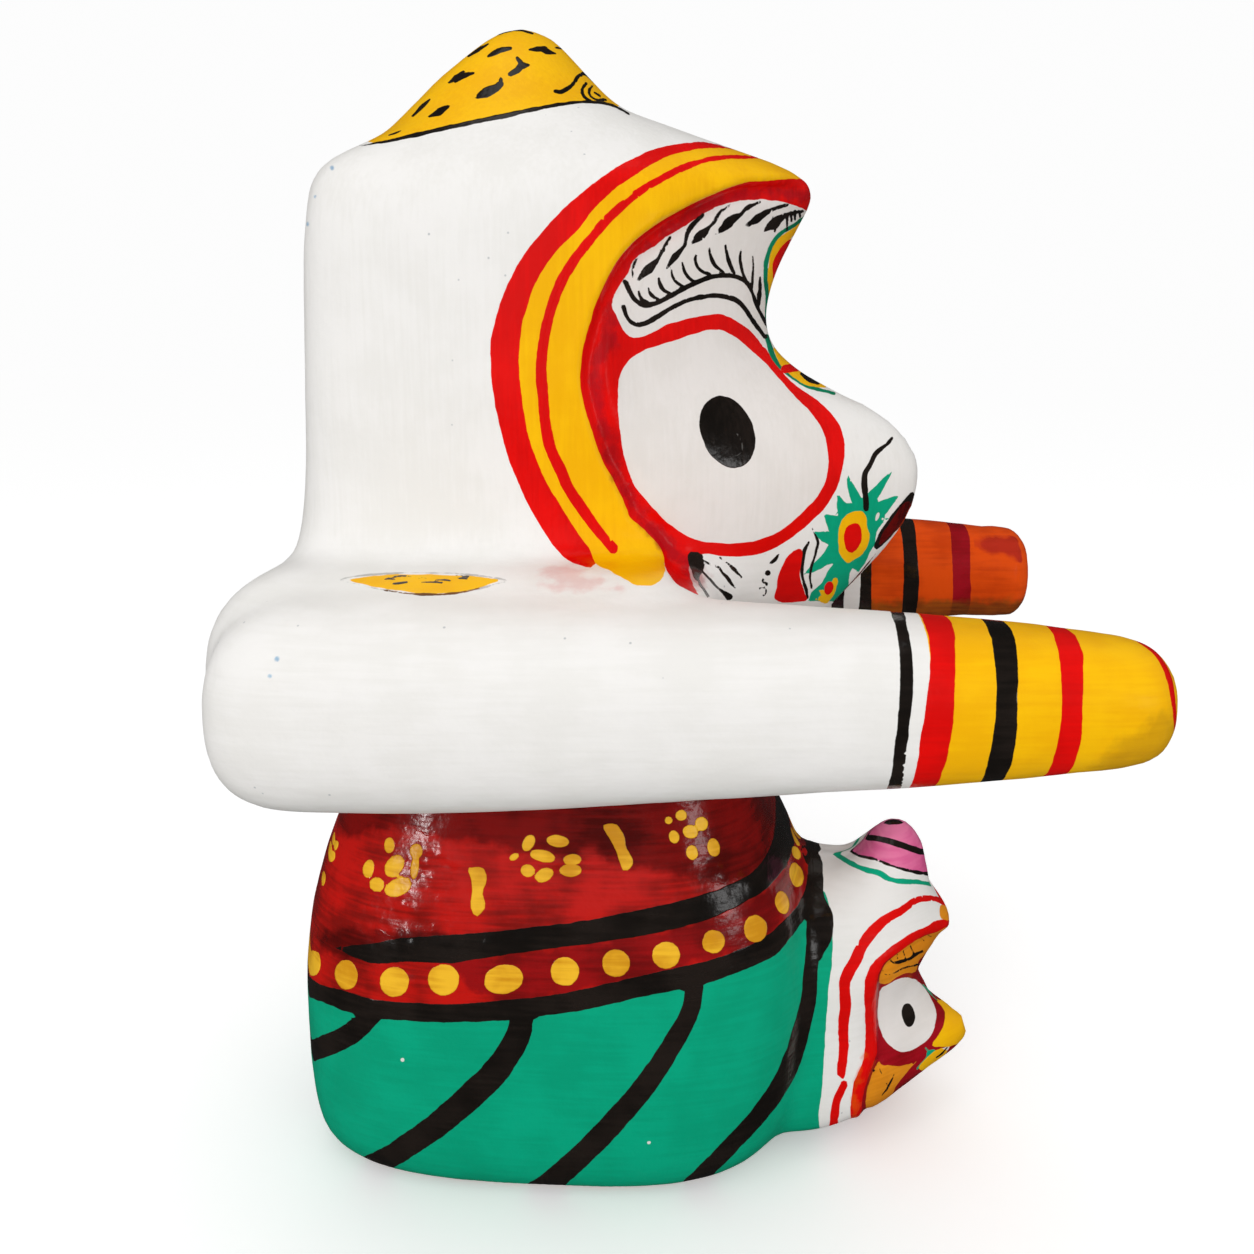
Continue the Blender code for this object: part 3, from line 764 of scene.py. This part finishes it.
def signed_distance(pixels, shape):
    """Pixels inside a shape's edge, positive inside, for each place in the photograph."""
    kind, (left, top, scale), points, how = shape
    line = np.array(points, float) / scale + [left, top]
    closed = kind == "area"
    if closed:
        line = line if how else curve_through(line, True)
        reach = 14.0
    else:
        line = curve_through(line, False) if len(line) > 2 else line
        widths = np.array(how if hasattr(how, "__len__") else (how,), float) / scale / 2
        half = np.interp(np.linspace(0, 1, len(line)), np.linspace(0, 1, len(widths)), widths)
        reach = 14.0 + half.max()
    low, high = line.min(0) - reach, line.max(0) + reach
    near = np.nonzero(((pixels > low) & (pixels < high)).all(1))[0]
    found = np.full(len(pixels), -14.0)
    ends = np.roll(line, -1, axis=0) if closed else line[1:]
    starts = line if closed else line[:-1]
    for part in np.array_split(near, max(1, len(near) * len(starts) // 2000000)):
        if not len(part):
            continue
        q = pixels[part][:, None, :]
        along = ends - starts
        t = ((q - starts) * along).sum(2) / np.maximum((along**2).sum(1), 1e-9)
        t = np.clip(t, 0, 1)
        gap = np.linalg.norm(q - starts - t[..., None] * along, axis=2)
        if closed:
            over = (starts[:, 1] > q[..., 1]) != (ends[:, 1] > q[..., 1])
            tall = np.where(along[:, 1] == 0, 1, along[:, 1])
            cross = starts[:, 0] + (q[..., 1] - starts[:, 1]) * along[:, 0] / tall
            inside = (over & (q[..., 0] < cross)).sum(1) % 2 == 1
            found[part] = np.where(inside, 1, -1) * gap.min(1)
        else:
            found[part] = (half[:-1] + (half[1:] - half[:-1]) * t - gap).max(1)
    fine = half.max() < FINE_WORK / 4 if not closed else np.ptp(line, axis=0).min() < FINE_WORK
    return found, fine


def body_wall(points):
    """Millimetres inside the body's own outline, seen from above, just under the shoulders."""
    x, y, z = points.T
    forward = np.where(y < -0.005, (-y - 0.005) / 0.0485, (y - 0.005) / 0.0575)
    sideways = np.abs(x) / 0.0440
    spread = sideways**BODY_SQUARENESS + np.abs(forward) ** BODY_SQUARENESS
    spread = spread ** (1 / BODY_SQUARENESS)
    return (1 - spread) * 44


ZONES = {
    "head": lambda p: 1000 * np.maximum.reduce([
        p[:, 2] - 0.1662,
        np.minimum(-0.043 - p[:, 1], 0.0475 - np.abs(p[:, 0])),
        np.minimum.reduce([
            0.0555 + np.clip(-0.020 - p[:, 1], 0, 0.0055) - np.abs(p[:, 0]),
            p[:, 2] - 0.135, 0.046 + p[:, 1], -p[:, 1],
        ]),
    ]),
    "lower": lambda p: np.minimum(
        1000 * (BODY_TOP - p[:, 2]), np.maximum(1000 * (0.1125 - p[:, 2]), body_wall(p))
    ),
    "arms": lambda p: 1000 * np.minimum(np.abs(p[:, 0]) - ARM_INSIDE, p[:, 2] - ARM_UNDER),
    "shoulder": lambda p: 1000 * np.minimum(p[:, 2] - 0.150, np.abs(p[:, 0]) - 0.055),
    "right_hand": lambda p: 1000 * np.minimum(-p[:, 0] - ARM_INSIDE, -0.120 - p[:, 1]),
    "left_hand": lambda p: 1000 * np.minimum(p[:, 0] - ARM_INSIDE, -0.120 - p[:, 1]),
    # the left hand's lower part, which takes painted shade
    "left_low": lambda p: 1000 * np.minimum.reduce([
        p[:, 0] - ARM_INSIDE, p[:, 2] - ARM_UNDER, -0.086 - p[:, 1], 0.1355 - p[:, 2],
    ]),
    "block": lambda p: 1000 * (p[:, 2] - 0.150),
    "base": lambda p: 1000 * (0.0008 - p[:, 2]),
    "outer_sides": lambda p: 1000 * (np.abs(p[:, 0]) - 0.040),
}


def coat_distances(points):
    """Each coat's distance at each point, and the nearest broad and fine edges of paint."""
    pixels, size = in_photo(points)
    from_front = np.stack([np.abs(points[:, 0]), -points[:, 2]], axis=1) * 1000
    zones = {name: rule(points) for name, rule in ZONES.items()}
    coats, broad, fine = {}, np.full(len(points), FAR), np.full(len(points), FAR)
    for name, (_, places) in COATS.items():
        found = np.full(len(points), -FAR)
        for zone, shapes in places.items():
            here = np.nonzero(zones[zone] > -FAR)[0]
            for shape in shapes:
                is_fine = False
                if shape == "everywhere":
                    value = np.full(len(here), FAR)
                elif isinstance(shape, str):
                    value = ring_distance(points[here], shape)
                elif shape[1] is FRONT:
                    value, is_fine = signed_distance(from_front[here], shape)
                else:
                    value, is_fine = signed_distance(pixels[here], shape)
                    value = value * size[here]
                value = np.minimum(value, zones[zone][here])
                found[here] = np.maximum(found[here], value)
                if is_fine:
                    fine[here] = np.minimum(fine[here], np.abs(value))
        coats[name] = np.clip(found, -FAR, FAR)
        broad = np.minimum(broad, np.abs(coats[name]))
    return coats, broad, fine


def ring_distance(points, name):
    """Millimetres inside the rings of one coat, which lean and waver as a hand paints them."""
    left = points[:, 0] > 0
    height = (points[:, 2] - HAND_MIDDLE[1]) * 1000
    turn = np.arctan2(height, (np.abs(points[:, 0]) - HAND_MIDDLE[0]) * 1000)
    found = np.full(len(points), -FAR)
    for rings, side in ((RIGHT_RINGS, ~left), (LEFT_RINGS, left)):
        for start, end, lean in rings.get(name, ()):
            forward = -1000 * points[:, 1] - lean * height / 14
            begins = forward - start + 0.22 * np.sin(3 * turn + start)
            stops = end - forward + 0.22 * np.sin(4 * turn + end)
            found = np.where(side, np.maximum(found, np.minimum(begins, stops)), found)
    return found


# Thick paint and tool marks on the body: place in its window, reach and height in millimetres
LUMPS = [
    (318, 432, 3.0, 0.9), (1278, 268, 3.4, 0.8), (530, 428, 1.6, 0.35), (632, 420, 1.6, 0.35),
    (312, 540, 1.3, 0.5), (360, 195, 1.8, 0.5), (400, 175, 1.6, 0.5), (430, 200, 1.5, 0.45),
    (375, 250, 2.0, 0.4), (330, 330, 2.2, 0.4), (290, 320, 1.8, 0.4), (1180, 230, 2.6, 0.35),
    (1245, 245, 2.0, 0.4), (190, 622, 2.6, 0.5), (1460, 350, 3.2, 1.1), (1440, 300, 2.2, 0.5),
    (120, 585, 2.0, 0.4), (715, 205, 1.2, 0.35), (700, 180, 1.2, 0.3),
]
WRINKLED = [(250, 385, 9.0, 0.24), (1160, 215, 6.0, 0.20), (350, 215, 8.0, 0.16)]


def bell(distance, reach):
    return np.exp(-((distance / reach) ** 2))


def carved_relief(points):
    """How far each point of the skin moves outwards, in metres, and how near it is to a lump."""
    pixels, size = in_photo(points)
    rise = np.zeros(len(points))
    near_lump = np.full(len(points), FAR)

    crease, _ = signed_distance(pixels, area(FACE, FACE_INSIDE))
    crease = crease * size
    upper = np.clip((points[:, 2] - 0.205) / 0.03, 0, 1)
    groove = (1.3 + 0.9 * upper) * bell(crease - 2.6, 2.4) - 0.5 * bell(crease + 0.8, 1.6)
    in_head = np.clip(ZONES["head"](points) / 4, 0, 1) * np.clip(-(points[:, 1] - 0.004) / 0.008, 0, 1)
    aside = np.clip((np.abs(points[:, 0]) - 0.006) / 0.012, 0, 1)
    rise -= groove * in_head * aside

    small_crease, _ = signed_distance(pixels, area(SMALL, SMALL_INSIDE, sharp=True))
    small_crease = small_crease * size
    groove = 0.7 * bell(small_crease - 1.3, 1.2) - 0.35 * bell(small_crease + 1.2, 1.0)
    in_small = np.clip(-(points[:, 1] + 0.072) / 0.004, 0, 1) * (points[:, 2] < 0.07)
    rise -= groove * in_small

    on_body = np.clip(ZONES["lower"](points) / 3, 0, 1)
    place = (pixels - BODY[:2]) * BODY[2]
    for across, down, reach, height in LUMPS:
        distance = np.linalg.norm(place - [across, down], axis=1) / BODY[2] * size
        rise += height * bell(distance, reach) * on_body
        near_lump = np.minimum(near_lump, np.where(on_body > 0, np.maximum(distance - reach, 0), FAR))
    for across, down, reach, height in WRINKLED:
        distance = np.linalg.norm((place - [across, down]) / [1.7, 1], axis=1) / BODY[2] * size
        near_lump = np.minimum(
            near_lump, np.where(on_body > 0, np.maximum(distance - reach * 1.2, 0), FAR)
        )
        for i in np.nonzero((distance < reach * 2) & (on_body > 0))[0]:
            wave = noise.noise(Vector(points[i]) * 420) + 0.5 * noise.noise(Vector(points[i]) * 900)
            rise[i] += height * wave * bell(distance[i], reach)
    return rise / 1000, near_lump


def finer_form(points):
    """Each point moved to the carving's finer form: the small face's line and the hands' ends."""
    pixels, size = in_photo(points)
    x, y, z = points.T
    moved_points = points.copy()
    rows, forward = zip(*SMALL_PROFILE)
    in_front = np.clip((-0.068 - y) / 0.010, 0, 1) * (z < ARM_UNDER)
    moved_points[:, 1] -= np.interp(pixels[:, 1], rows, forward) / 1000 * bell(x, 0.012) * in_front
    # the dip between the body and the small face's crown
    dip = np.linalg.norm((pixels - [838, 842]) * size[:, None], axis=1)
    moved_points[:, 2] -= 0.0020 * bell(dip, 6.0) * bell(x, 0.020) * (z < ARM_UNDER)
    dip = np.linalg.norm((pixels - [853, 832]) * size[:, None], axis=1)
    moved_points[:, 2] -= 0.0026 * bell(dip, 4.5) * bell(x, 0.020) * (z < ARM_UNDER)

    # the crown's root falls away on its far side
    falls = np.clip((x - 0.001) / 0.006, 0, 1) * bell(y + 0.078, 0.009) * (z > 0.066) * (z < ARM_UNDER)
    moved_points[:, 2] -= 0.0036 * falls

    stations, fuller, lower = zip(*HAND_END)
    on_arm = (np.abs(x) > ARM_INSIDE) & (z > ARM_UNDER)
    share = np.where(x > 0, 1.0, 0.3) * on_arm
    away = np.stack([np.abs(x) - HAND_MIDDLE[0], z - HAND_MIDDLE[1]], axis=1)
    reach = np.linalg.norm(away, axis=1)
    push = np.interp(-1000 * y, stations, fuller) / 1000 * share * np.clip(reach / 0.006, 0, 1)
    away /= np.maximum(reach, 1e-6)[:, None]
    moved_points[:, 0] += np.sign(x) * away[:, 0] * push
    moved_points[:, 2] += away[:, 1] * push - np.interp(-1000 * y, stations, lower) / 1000 * share
    return moved_points


def knife_marks(points):
    """The unevenness that a knife and sandpaper leave, in metres: slow waves and quicker ones."""
    other = Vector((7, 3, 1))
    return np.array([
        0.00016 * noise.noise(Vector(p) * 55) + 0.00008 * noise.noise(Vector(p) * 140 + other)
        for p in points
    ])


def vertex_normals(points, faces):
    a, b, c = (points[faces[:, i]] for i in range(3))
    face = np.cross(b - a, c - a)
    total = np.zeros_like(points)
    for i in range(3):
        np.add.at(total, faces[:, i], face)
    return total / np.linalg.norm(total, axis=1, keepdims=True)


def split_long_edges(points, normals, faces, wanted):
    """Puts a point on the curved skin at the middle of each edge longer than is wanted there."""
    sides = np.stack([faces, np.roll(faces, -1, axis=1)], axis=2).reshape(-1, 2)
    edges, which = np.unique(np.sort(sides, axis=1), axis=0, return_inverse=True)
    p0, p1 = points[edges[:, 0]], points[edges[:, 1]]
    n0, n1 = normals[edges[:, 0]], normals[edges[:, 1]]
    length = np.linalg.norm(p1 - p0, axis=1)
    cut = length > wanted[edges].min(1) * 1.25
    rise0 = ((p1 - p0) * n0).sum(1, keepdims=True)
    rise1 = ((p0 - p1) * n1).sum(1, keepdims=True)
    middles = (p0 + p1) / 2 - (rise0 * n0 + rise1 * n1) / 8
    turned = n0 + n1
    turned /= np.linalg.norm(turned, axis=1, keepdims=True)
    place = np.where(cut, len(points) + np.cumsum(cut) - 1, -1)[which.reshape(-1)].reshape(-1, 3)
    points = np.concatenate([points, middles[cut]])
    normals = np.concatenate([normals, turned[cut]])
    made = [faces[(place < 0).all(1)]]
    count = (place >= 0).sum(1)
    for turn in range(3):
        f, m = np.roll(faces, -turn, axis=1), np.roll(place, -turn, axis=1)
        one = (count == 1) & (m[:, 0] >= 0)
        a, b, c = f[one].T
        ab = m[one, 0]
        made += [np.stack([a, ab, c], 1), np.stack([ab, b, c], 1)]
        two = (count == 2) & (m[:, 2] < 0)
        a, b, c = f[two].T
        ab, bc = m[two, 0], m[two, 1]
        made += [np.stack([ab, b, bc], 1), np.stack([a, ab, bc], 1), np.stack([a, bc, c], 1)]
    three = count == 3
    a, b, c = faces[three].T
    ab, bc, ca = place[three].T
    made += [
        np.stack([a, ab, ca], 1), np.stack([ab, b, bc], 1),
        np.stack([ca, bc, c], 1), np.stack([ab, bc, ca], 1),
    ]
    return points, normals, np.concatenate(made)


def even_skin():
    """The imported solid's surface as even triangles with its facets smoothed away."""
    bpy.ops.object.select_all(action="DESELECT")
    skin = bpy.data.objects.new("painted_figure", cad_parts["carved_figure"].data.copy())
    bpy.context.scene.collection.objects.link(skin)
    skin.select_set(True)
    bpy.context.view_layer.objects.active = skin
    bpy.ops.object.mode_set(mode="EDIT")
    bpy.ops.mesh.select_all(action="SELECT")
    bpy.ops.mesh.remove_doubles(threshold=0.00001)
    bpy.ops.object.mode_set(mode="OBJECT")
    rounded = skin.modifiers.new("rounded", "SUBSURF")
    rounded.levels = rounded.render_levels = 1
    bpy.ops.object.modifier_apply(modifier=rounded.name)
    even = skin.modifiers.new("even", "REMESH")
    even.mode = "VOXEL"
    even.voxel_size = EVEN_EDGE
    bpy.ops.object.modifier_apply(modifier=even.name)
    soft = skin.modifiers.new("soft", "SMOOTH")
    soft.factor = 0.5
    soft.iterations = 6
    bpy.ops.object.modifier_apply(modifier=soft.name)
    cut = skin.modifiers.new("cut", "TRIANGULATE")
    bpy.ops.object.modifier_apply(modifier=cut.name)
    return skin


def points_and_faces(mesh):
    points = np.empty(len(mesh.vertices) * 3)
    mesh.vertices.foreach_get("co", points)
    faces = np.empty(len(mesh.loops), np.int32)
    mesh.loops.foreach_get("vertex_index", faces)
    return points.reshape(-1, 3), faces.reshape(-1, 3)


def painted_figure():
    skin = even_skin()
    points, faces = points_and_faces(skin.data)
    points = finer_form(points)
    normals = vertex_normals(points, faces)
    points = points + normals * knife_marks(points)[:, None]
    normals = vertex_normals(points, faces)
    for _ in range(REFINING_ROUNDS):
        _, broad, fine = coat_distances(points)
        _, lump = carved_relief(points)
        broad = np.minimum(broad, lump)
        wanted = np.minimum(
            np.clip(BROAD_EDGE + (broad - 0.3) * 0.0020, BROAD_EDGE, EVEN_EDGE * 1.5),
            np.clip(FINE_EDGE + (fine - 0.25) * 0.0018, FINE_EDGE, EVEN_EDGE * 1.5),
        )
        wanted = np.where(points[:, 0] > 0.004, wanted * FAR_SIDE_COARSER, wanted)
        points, normals, faces = split_long_edges(points, normals, faces, wanted)
    coats, _, _ = coat_distances(points)
    points = points + normals * carved_relief(points)[0][:, None]
    points[:, 2] = np.maximum(points[:, 2], 0)
    mesh = bpy.data.meshes.new("painted_figure")
    mesh.from_pydata(points.tolist(), [], faces.tolist())
    mesh.validate()
    for name, value in coats.items():
        layer = mesh.attributes.new(name, "FLOAT", "POINT")
        layer.data.foreach_set("value", value.astype(np.float32))
    old = skin.data
    skin.data = mesh
    bpy.data.meshes.remove(old)
    for polygon in mesh.polygons:
        polygon.use_smooth = True
    return skin


def pigment(hex_colour):
    """A linear colour from an sRGB hex value."""
    parts = [int(hex_colour[i:i + 2], 16) / 255 for i in (1, 3, 5)]
    return tuple(c / 12.92 if c <= 0.04045 else ((c + 0.055) / 1.055) ** 2.4 for c in parts) + (1,)


def add(tree, kind, settings=(), links=()):
    """A shader node, its settings and its inputs: each an output to link, or a plain value."""
    made = tree.nodes.new("ShaderNode" + kind)
    for name, value in dict(settings).items():
        setattr(made, name, value)
    for name, value in dict(links).items():
        if isinstance(value, bpy.types.NodeSocket):
            tree.links.new(value, made.inputs[name])
        else:
            made.inputs[name].default_value = value
    return made


# Each pigment: its colour where it lies thin and where it lies thick, how rough it dried, and
# how far it stands above what is under it in millimetres
PIGMENTS = {
    "ground": ("#F1EFEC", "#ECEAE6", 0.40, 0.0),
    "white": ("#EBE6E2", "#E6E1DC", 0.42, 0.02),
    "red": ("#E80603", "#D80402", 0.27, 0.03),
    "deep_red": ("#C8140C", "#86100A", 0.19, 0.03),
    "oxblood": ("#940C10", "#6C080A", 0.19, 0.0),
    "maroon": ("#6A0A08", "#3C0605", 0.17, 0.02),
    "yellow": ("#FCC004", "#F5B402", 0.32, 0.03),
    "orange": ("#EA5008", "#D24204", 0.30, 0.03),
    "crimson": ("#A60A1C", "#8E0610", 0.25, 0.03),
    "ochre": ("#F09A20", "#DC8616", 0.32, 0.02),
    "pink": ("#F282AE", "#E26098", 0.22, 0.03),
    "green": ("#03AA82", "#02A079", 0.36, 0.03),
    "bottle_green": ("#078A62", "#05704E", 0.34, 0.03),
    "black": ("#241D19", "#16120F", 0.20, 0.05),
    "gold": ("#FCC22C", "#D89414", 0.24, 0.16),
    "grey": ("#8A8784", "#6C6966", 0.35, 0.0),
    "umber": ("#8A5412", "#5C3810", 0.40, 0.0),
    "blue": ("#6AAAD0", "#4A8AB8", 0.40, 0.0),
    "rose": ("#E06858", "#D04848", 0.38, 0.0),
    "wood": ("#C79A63", "#A87A46", 0.72, 0.0),
}
MILLIMETRE = 0.001


def painted_wood_material():
    """Poster enamel brushed over a white chalk ground on carved wood, then varnished.

    To the eye: flat bright colour with crisp hand-led edges, faint bristle lines, a satin
    white, and glossy reds and blacks that sparkle where the paint is lumpy. Some coats are
    painted shade and highlight.
    """
    material = bpy.data.materials.new("brushed_enamel_on_carved_wood")
    material.use_nodes = True
    tree = material.node_tree
    tree.nodes.clear()
    here = add(tree, "TexCoord").outputs["Object"]
    # edges waver by about a fifth of a millimetre as a hand-held brush does, every 4 mm or so
    waver = add(tree, "TexNoise", {}, {"Vector": here, "Scale": 260.0, "Detail": 3.0})
    waver = add(tree, "MapRange", {}, {
        0: waver.outputs["Fac"], 1: 0.3, 2: 0.7, 3: -0.14, 4: 0.14,
    })
    # bristle lines: 0.4 mm apart, upright on the head and level elsewhere
    upright = add(tree, "Mapping", {}, {"Vector": here, "Scale": (1000, 1000, 55)})
    level = add(tree, "Mapping", {}, {"Vector": here, "Scale": (60, 60, 900)})
    place = add(tree, "SeparateXYZ", {}, {"Vector": here})
    on_head = add(tree, "MapRange", {"interpolation_type": "SMOOTHSTEP"}, {
        0: place.outputs["Z"], 1: 0.166, 2: 0.176,
    }).outputs[0]
    upright = add(tree, "TexNoise", {}, {
        "Vector": upright.outputs[0], "Scale": 1.0, "Detail": 2.0,
    })
    level = add(tree, "TexNoise", {}, {"Vector": level.outputs[0], "Scale": 1.0, "Detail": 2.0})
    bristles = add(tree, "Mix", {}, {
        0: on_head, 2: level.outputs["Fac"], 3: upright.outputs["Fac"],
    }).outputs[0]
    # slow pooling of varnish, 3 mm across, small nibs of 0.8 mm, and brush loads of 15 mm
    pools = add(tree, "TexNoise", {}, {"Vector": here, "Scale": 330.0, "Detail": 2.0})
    nibs = add(tree, "TexNoise", {}, {"Vector": here, "Scale": 1250.0, "Detail": 1.0})
    loads = add(tree, "TexNoise", {}, {"Vector": here, "Scale": 65.0, "Detail": 4.0})
    # where the paint lies thick: loads of the brush, drawn out along its bristles
    thickness = add(tree, "Math", {"operation": "MULTIPLY_ADD"}, {
        0: bristles, 1: 0.45, 2: loads.outputs["Fac"],
    })
    thick_here = add(tree, "MapRange", {"interpolation_type": "SMOOTHSTEP"}, {
        0: thickness.outputs[0], 1: 0.56, 2: 0.90,
    }).outputs[0]
    # a glaze's edge wanders by a millimetre and more, in strokes 4 mm long
    wander = add(tree, "TexNoise", {}, {"Vector": here, "Scale": 240.0, "Detail": 4.0})
    wander = add(tree, "MapRange", {}, {
        0: wander.outputs["Fac"], 1: 0.32, 2: 0.68, 3: -1.1, 4: 1.1,
    }).outputs[0]

    # dust caught in the white: a grey speck 0.5 mm across every 10 mm or so
    dust = add(tree, "TexVoronoi", {}, {"Vector": here, "Scale": 190.0})
    kept = add(tree, "SeparateColor", {}, {"Color": dust.outputs["Color"]})
    kept = add(tree, "Math", {"operation": "GREATER_THAN"}, {0: kept.outputs[0], 1: 0.62})
    speck = add(tree, "MapRange", {}, {
        0: dust.outputs["Distance"], 1: 0.035, 2: 0.070, 3: 0.50, 4: 0.0,
    })
    speck = add(tree, "Math", {"operation": "MULTIPLY"}, {0: speck.outputs[0], 1: kept.outputs[0]})

    def brushed(paint):
        thin, thick = PIGMENTS[paint][:2]
        return add(tree, "Mix", {"data_type": "RGBA"}, {
            0: thick_here, 6: pigment(thin), 7: pigment(thick),
        }).outputs[2]

    colour = add(tree, "Mix", {"data_type": "RGBA"}, {
        0: speck.outputs[0], 6: brushed("ground"), 7: pigment("#8E959C"),
    }).outputs[2]
    rough, height = PIGMENTS["ground"][2], 0.0
    # each coat over the last: paint, and the painted shade and highlight
    for name, (paint, _) in COATS.items():
        dried, stands = PIGMENTS[paint][2:]
        fade, strength = GLAZES.get(name, (0.07, 1.0))
        distance = add(tree, "Attribute", {"attribute_name": name})
        led = add(tree, "Math", {}, {
            0: distance.outputs["Fac"], 1: wander if fade > 0.5 else waver.outputs[0],
        })
        cover = add(tree, "MapRange", {"interpolation_type": "SMOOTHSTEP"}, {
            0: led.outputs[0], 1: -fade, 2: fade, 4: strength,
        }).outputs[0]
        colour = add(tree, "Mix", {"data_type": "RGBA"}, {
            0: cover, 6: colour, 7: brushed(paint),
        }).outputs[2]
        rough = add(tree, "Mix", {}, {0: cover, 2: rough, 3: dried}).outputs[0]
        if stands:
            bank = add(tree, "MapRange", {"interpolation_type": "SMOOTHSTEP"}, {
                0: led.outputs[0], 1: -0.12, 2: 0.25, 3: 0.0, 4: stands,
            }).outputs[0]
            height = add(tree, "Math", {}, {0: height, 1: bank}).outputs[0]

    relief = add(tree, "Math", {"operation": "MULTIPLY_ADD"}, {0: bristles, 1: 0.04, 2: height})
    relief = add(tree, "Math", {"operation": "MULTIPLY_ADD"}, {
        0: pools.outputs["Fac"], 1: 0.14, 2: relief.outputs[0],
    })
    relief = add(tree, "Math", {"operation": "MULTIPLY_ADD"}, {
        0: nibs.outputs["Fac"], 1: 0.02, 2: relief.outputs[0],
    })
    bump = add(tree, "Bump", {}, {
        "Height": relief.outputs[0], "Distance": MILLIMETRE, "Strength": 0.9,
    })
    # the glossiest coats are varnished; the flat ones hardly shine
    varnish = add(tree, "MapRange", {}, {0: rough, 1: 0.19, 2: 0.28, 3: 0.5, 4: 0.10})
    shader = add(tree, "BsdfPrincipled", {}, {
        "Base Color": colour, "Roughness": rough, "Normal": bump.outputs[0], "IOR": 1.5,
        "Specular IOR Level": varnish.outputs[0],
    })
    add(tree, "OutputMaterial", {}, {"Surface": shader.outputs[0]})
    return material


figure = painted_figure()
figure.data.materials.append(painted_wood_material())
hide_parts("carved_figure")
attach(figure, "root")


def soft_light(name, place, aim, size, power):
    made = bpy.data.lights.new(name, "AREA")
    made.shape = "RECTANGLE"
    made.size, made.size_y = size
    made.energy = power
    lamp = bpy.data.objects.new(name, made)
    bpy.context.scene.collection.objects.link(lamp)
    lamp.location = place
    lamp.rotation_euler = (Vector(aim) - Vector(place)).to_track_quat("-Z", "Y").to_euler()
    return lamp


def studio():
    bpy.ops.object.select_all(action="DESELECT")
    bpy.ops.mesh.primitive_plane_add(size=14, location=(0, 0, -0.0002))
    floor = bpy.context.object
    floor.name = "floor"
    floor.visible_glossy = False
    paper = bpy.data.materials.new("white_paper_floor")
    paper.use_nodes = True
    tree = paper.node_tree
    path = add(tree, "LightPath")
    # the paper is white to the eye and sends back only part of the light, as a small sheet does
    sheet = add(tree, "Mix", {"data_type": "RGBA"}, {
        0: path.outputs["Is Camera Ray"], 6: pigment("#B8B8B8"), 7: pigment("#FCFCFC"),
    })
    shader = tree.nodes["Principled BSDF"]
    tree.links.new(sheet.outputs[2], shader.inputs["Base Color"])
    lit = add(tree, "Math", {"operation": "MULTIPLY"}, {
        0: path.outputs["Is Camera Ray"], 1: 0.265,
    })
    shader.inputs["Emission Color"].default_value = (1, 1, 1, 1)
    tree.links.new(lit.outputs[0], shader.inputs["Emission Strength"])
    shader.inputs["Roughness"].default_value = 0.9
    shader.inputs["Specular IOR Level"].default_value = 0.0
    floor.data.materials.append(paper)

    world = bpy.data.worlds.new("white_studio")
    bpy.context.scene.world = world
    world.use_nodes = True
    world.cycles.sampling_method = "NONE"
    tree = world.node_tree
    tree.nodes.clear()
    path = add(tree, "LightPath")
    level = add(tree, "Mix", {"data_type": "FLOAT"}, {
        0: path.outputs["Is Glossy Ray"], 2: 0.735, 3: 0.02,
    })
    seen = add(tree, "Mix", {"data_type": "FLOAT"}, {
        0: path.outputs["Is Camera Ray"], 2: level.outputs[0], 3: 0.98,
    })
    sky = add(tree, "Background", {}, {"Color": (1, 1, 1, 1), "Strength": seen.outputs[0]})
    add(tree, "OutputWorld", {}, {"Surface": sky.outputs[0]})
    front = soft_light("front_fill", (-1.3, 0.05, 0.50), (0, 0, 0.14), (1.0, 1.0), 6.1)
    front.visible_glossy = False
    soft_light("window", (-0.12, 0.05, 1.15), (0, 0, 0.15), (0.50, 0.50), 0.6)
    soft_light("left_lamp", (-0.85, 0.63, 0.14), (0, 0, 0.10), (0.05, 0.12), 0.7)
    soft_light("right_lamp", (-0.80, -0.88, 0.20), (0, 0, 0.09), (0.26, 0.16), 0.6)


def photo_camera():
    data = bpy.data.cameras.new("photo_camera")
    camera = bpy.data.objects.new("photo_camera", data)
    bpy.context.scene.collection.objects.link(camera)
    turn = Matrix([RIGHT.tolist(), UP.tolist(), (-AHEAD).tolist()]).transposed()
    camera.matrix_world = Matrix.Translation(CAMERA_PLACE.tolist()) @ turn.to_4x4()
    data.sensor_width = 36
    data.lens = FOCAL_PIXELS / PHOTO_SIZE * 36
    data.shift_x = -(AIM_PIXEL[0] - PHOTO_SIZE / 2) / PHOTO_SIZE
    data.shift_y = (AIM_PIXEL[1] - PHOTO_SIZE / 2) / PHOTO_SIZE
    data.clip_start = 0.01
    bpy.context.scene.camera = camera


studio()
photo_camera()
bpy.context.scene.view_settings.view_transform = "Standard"
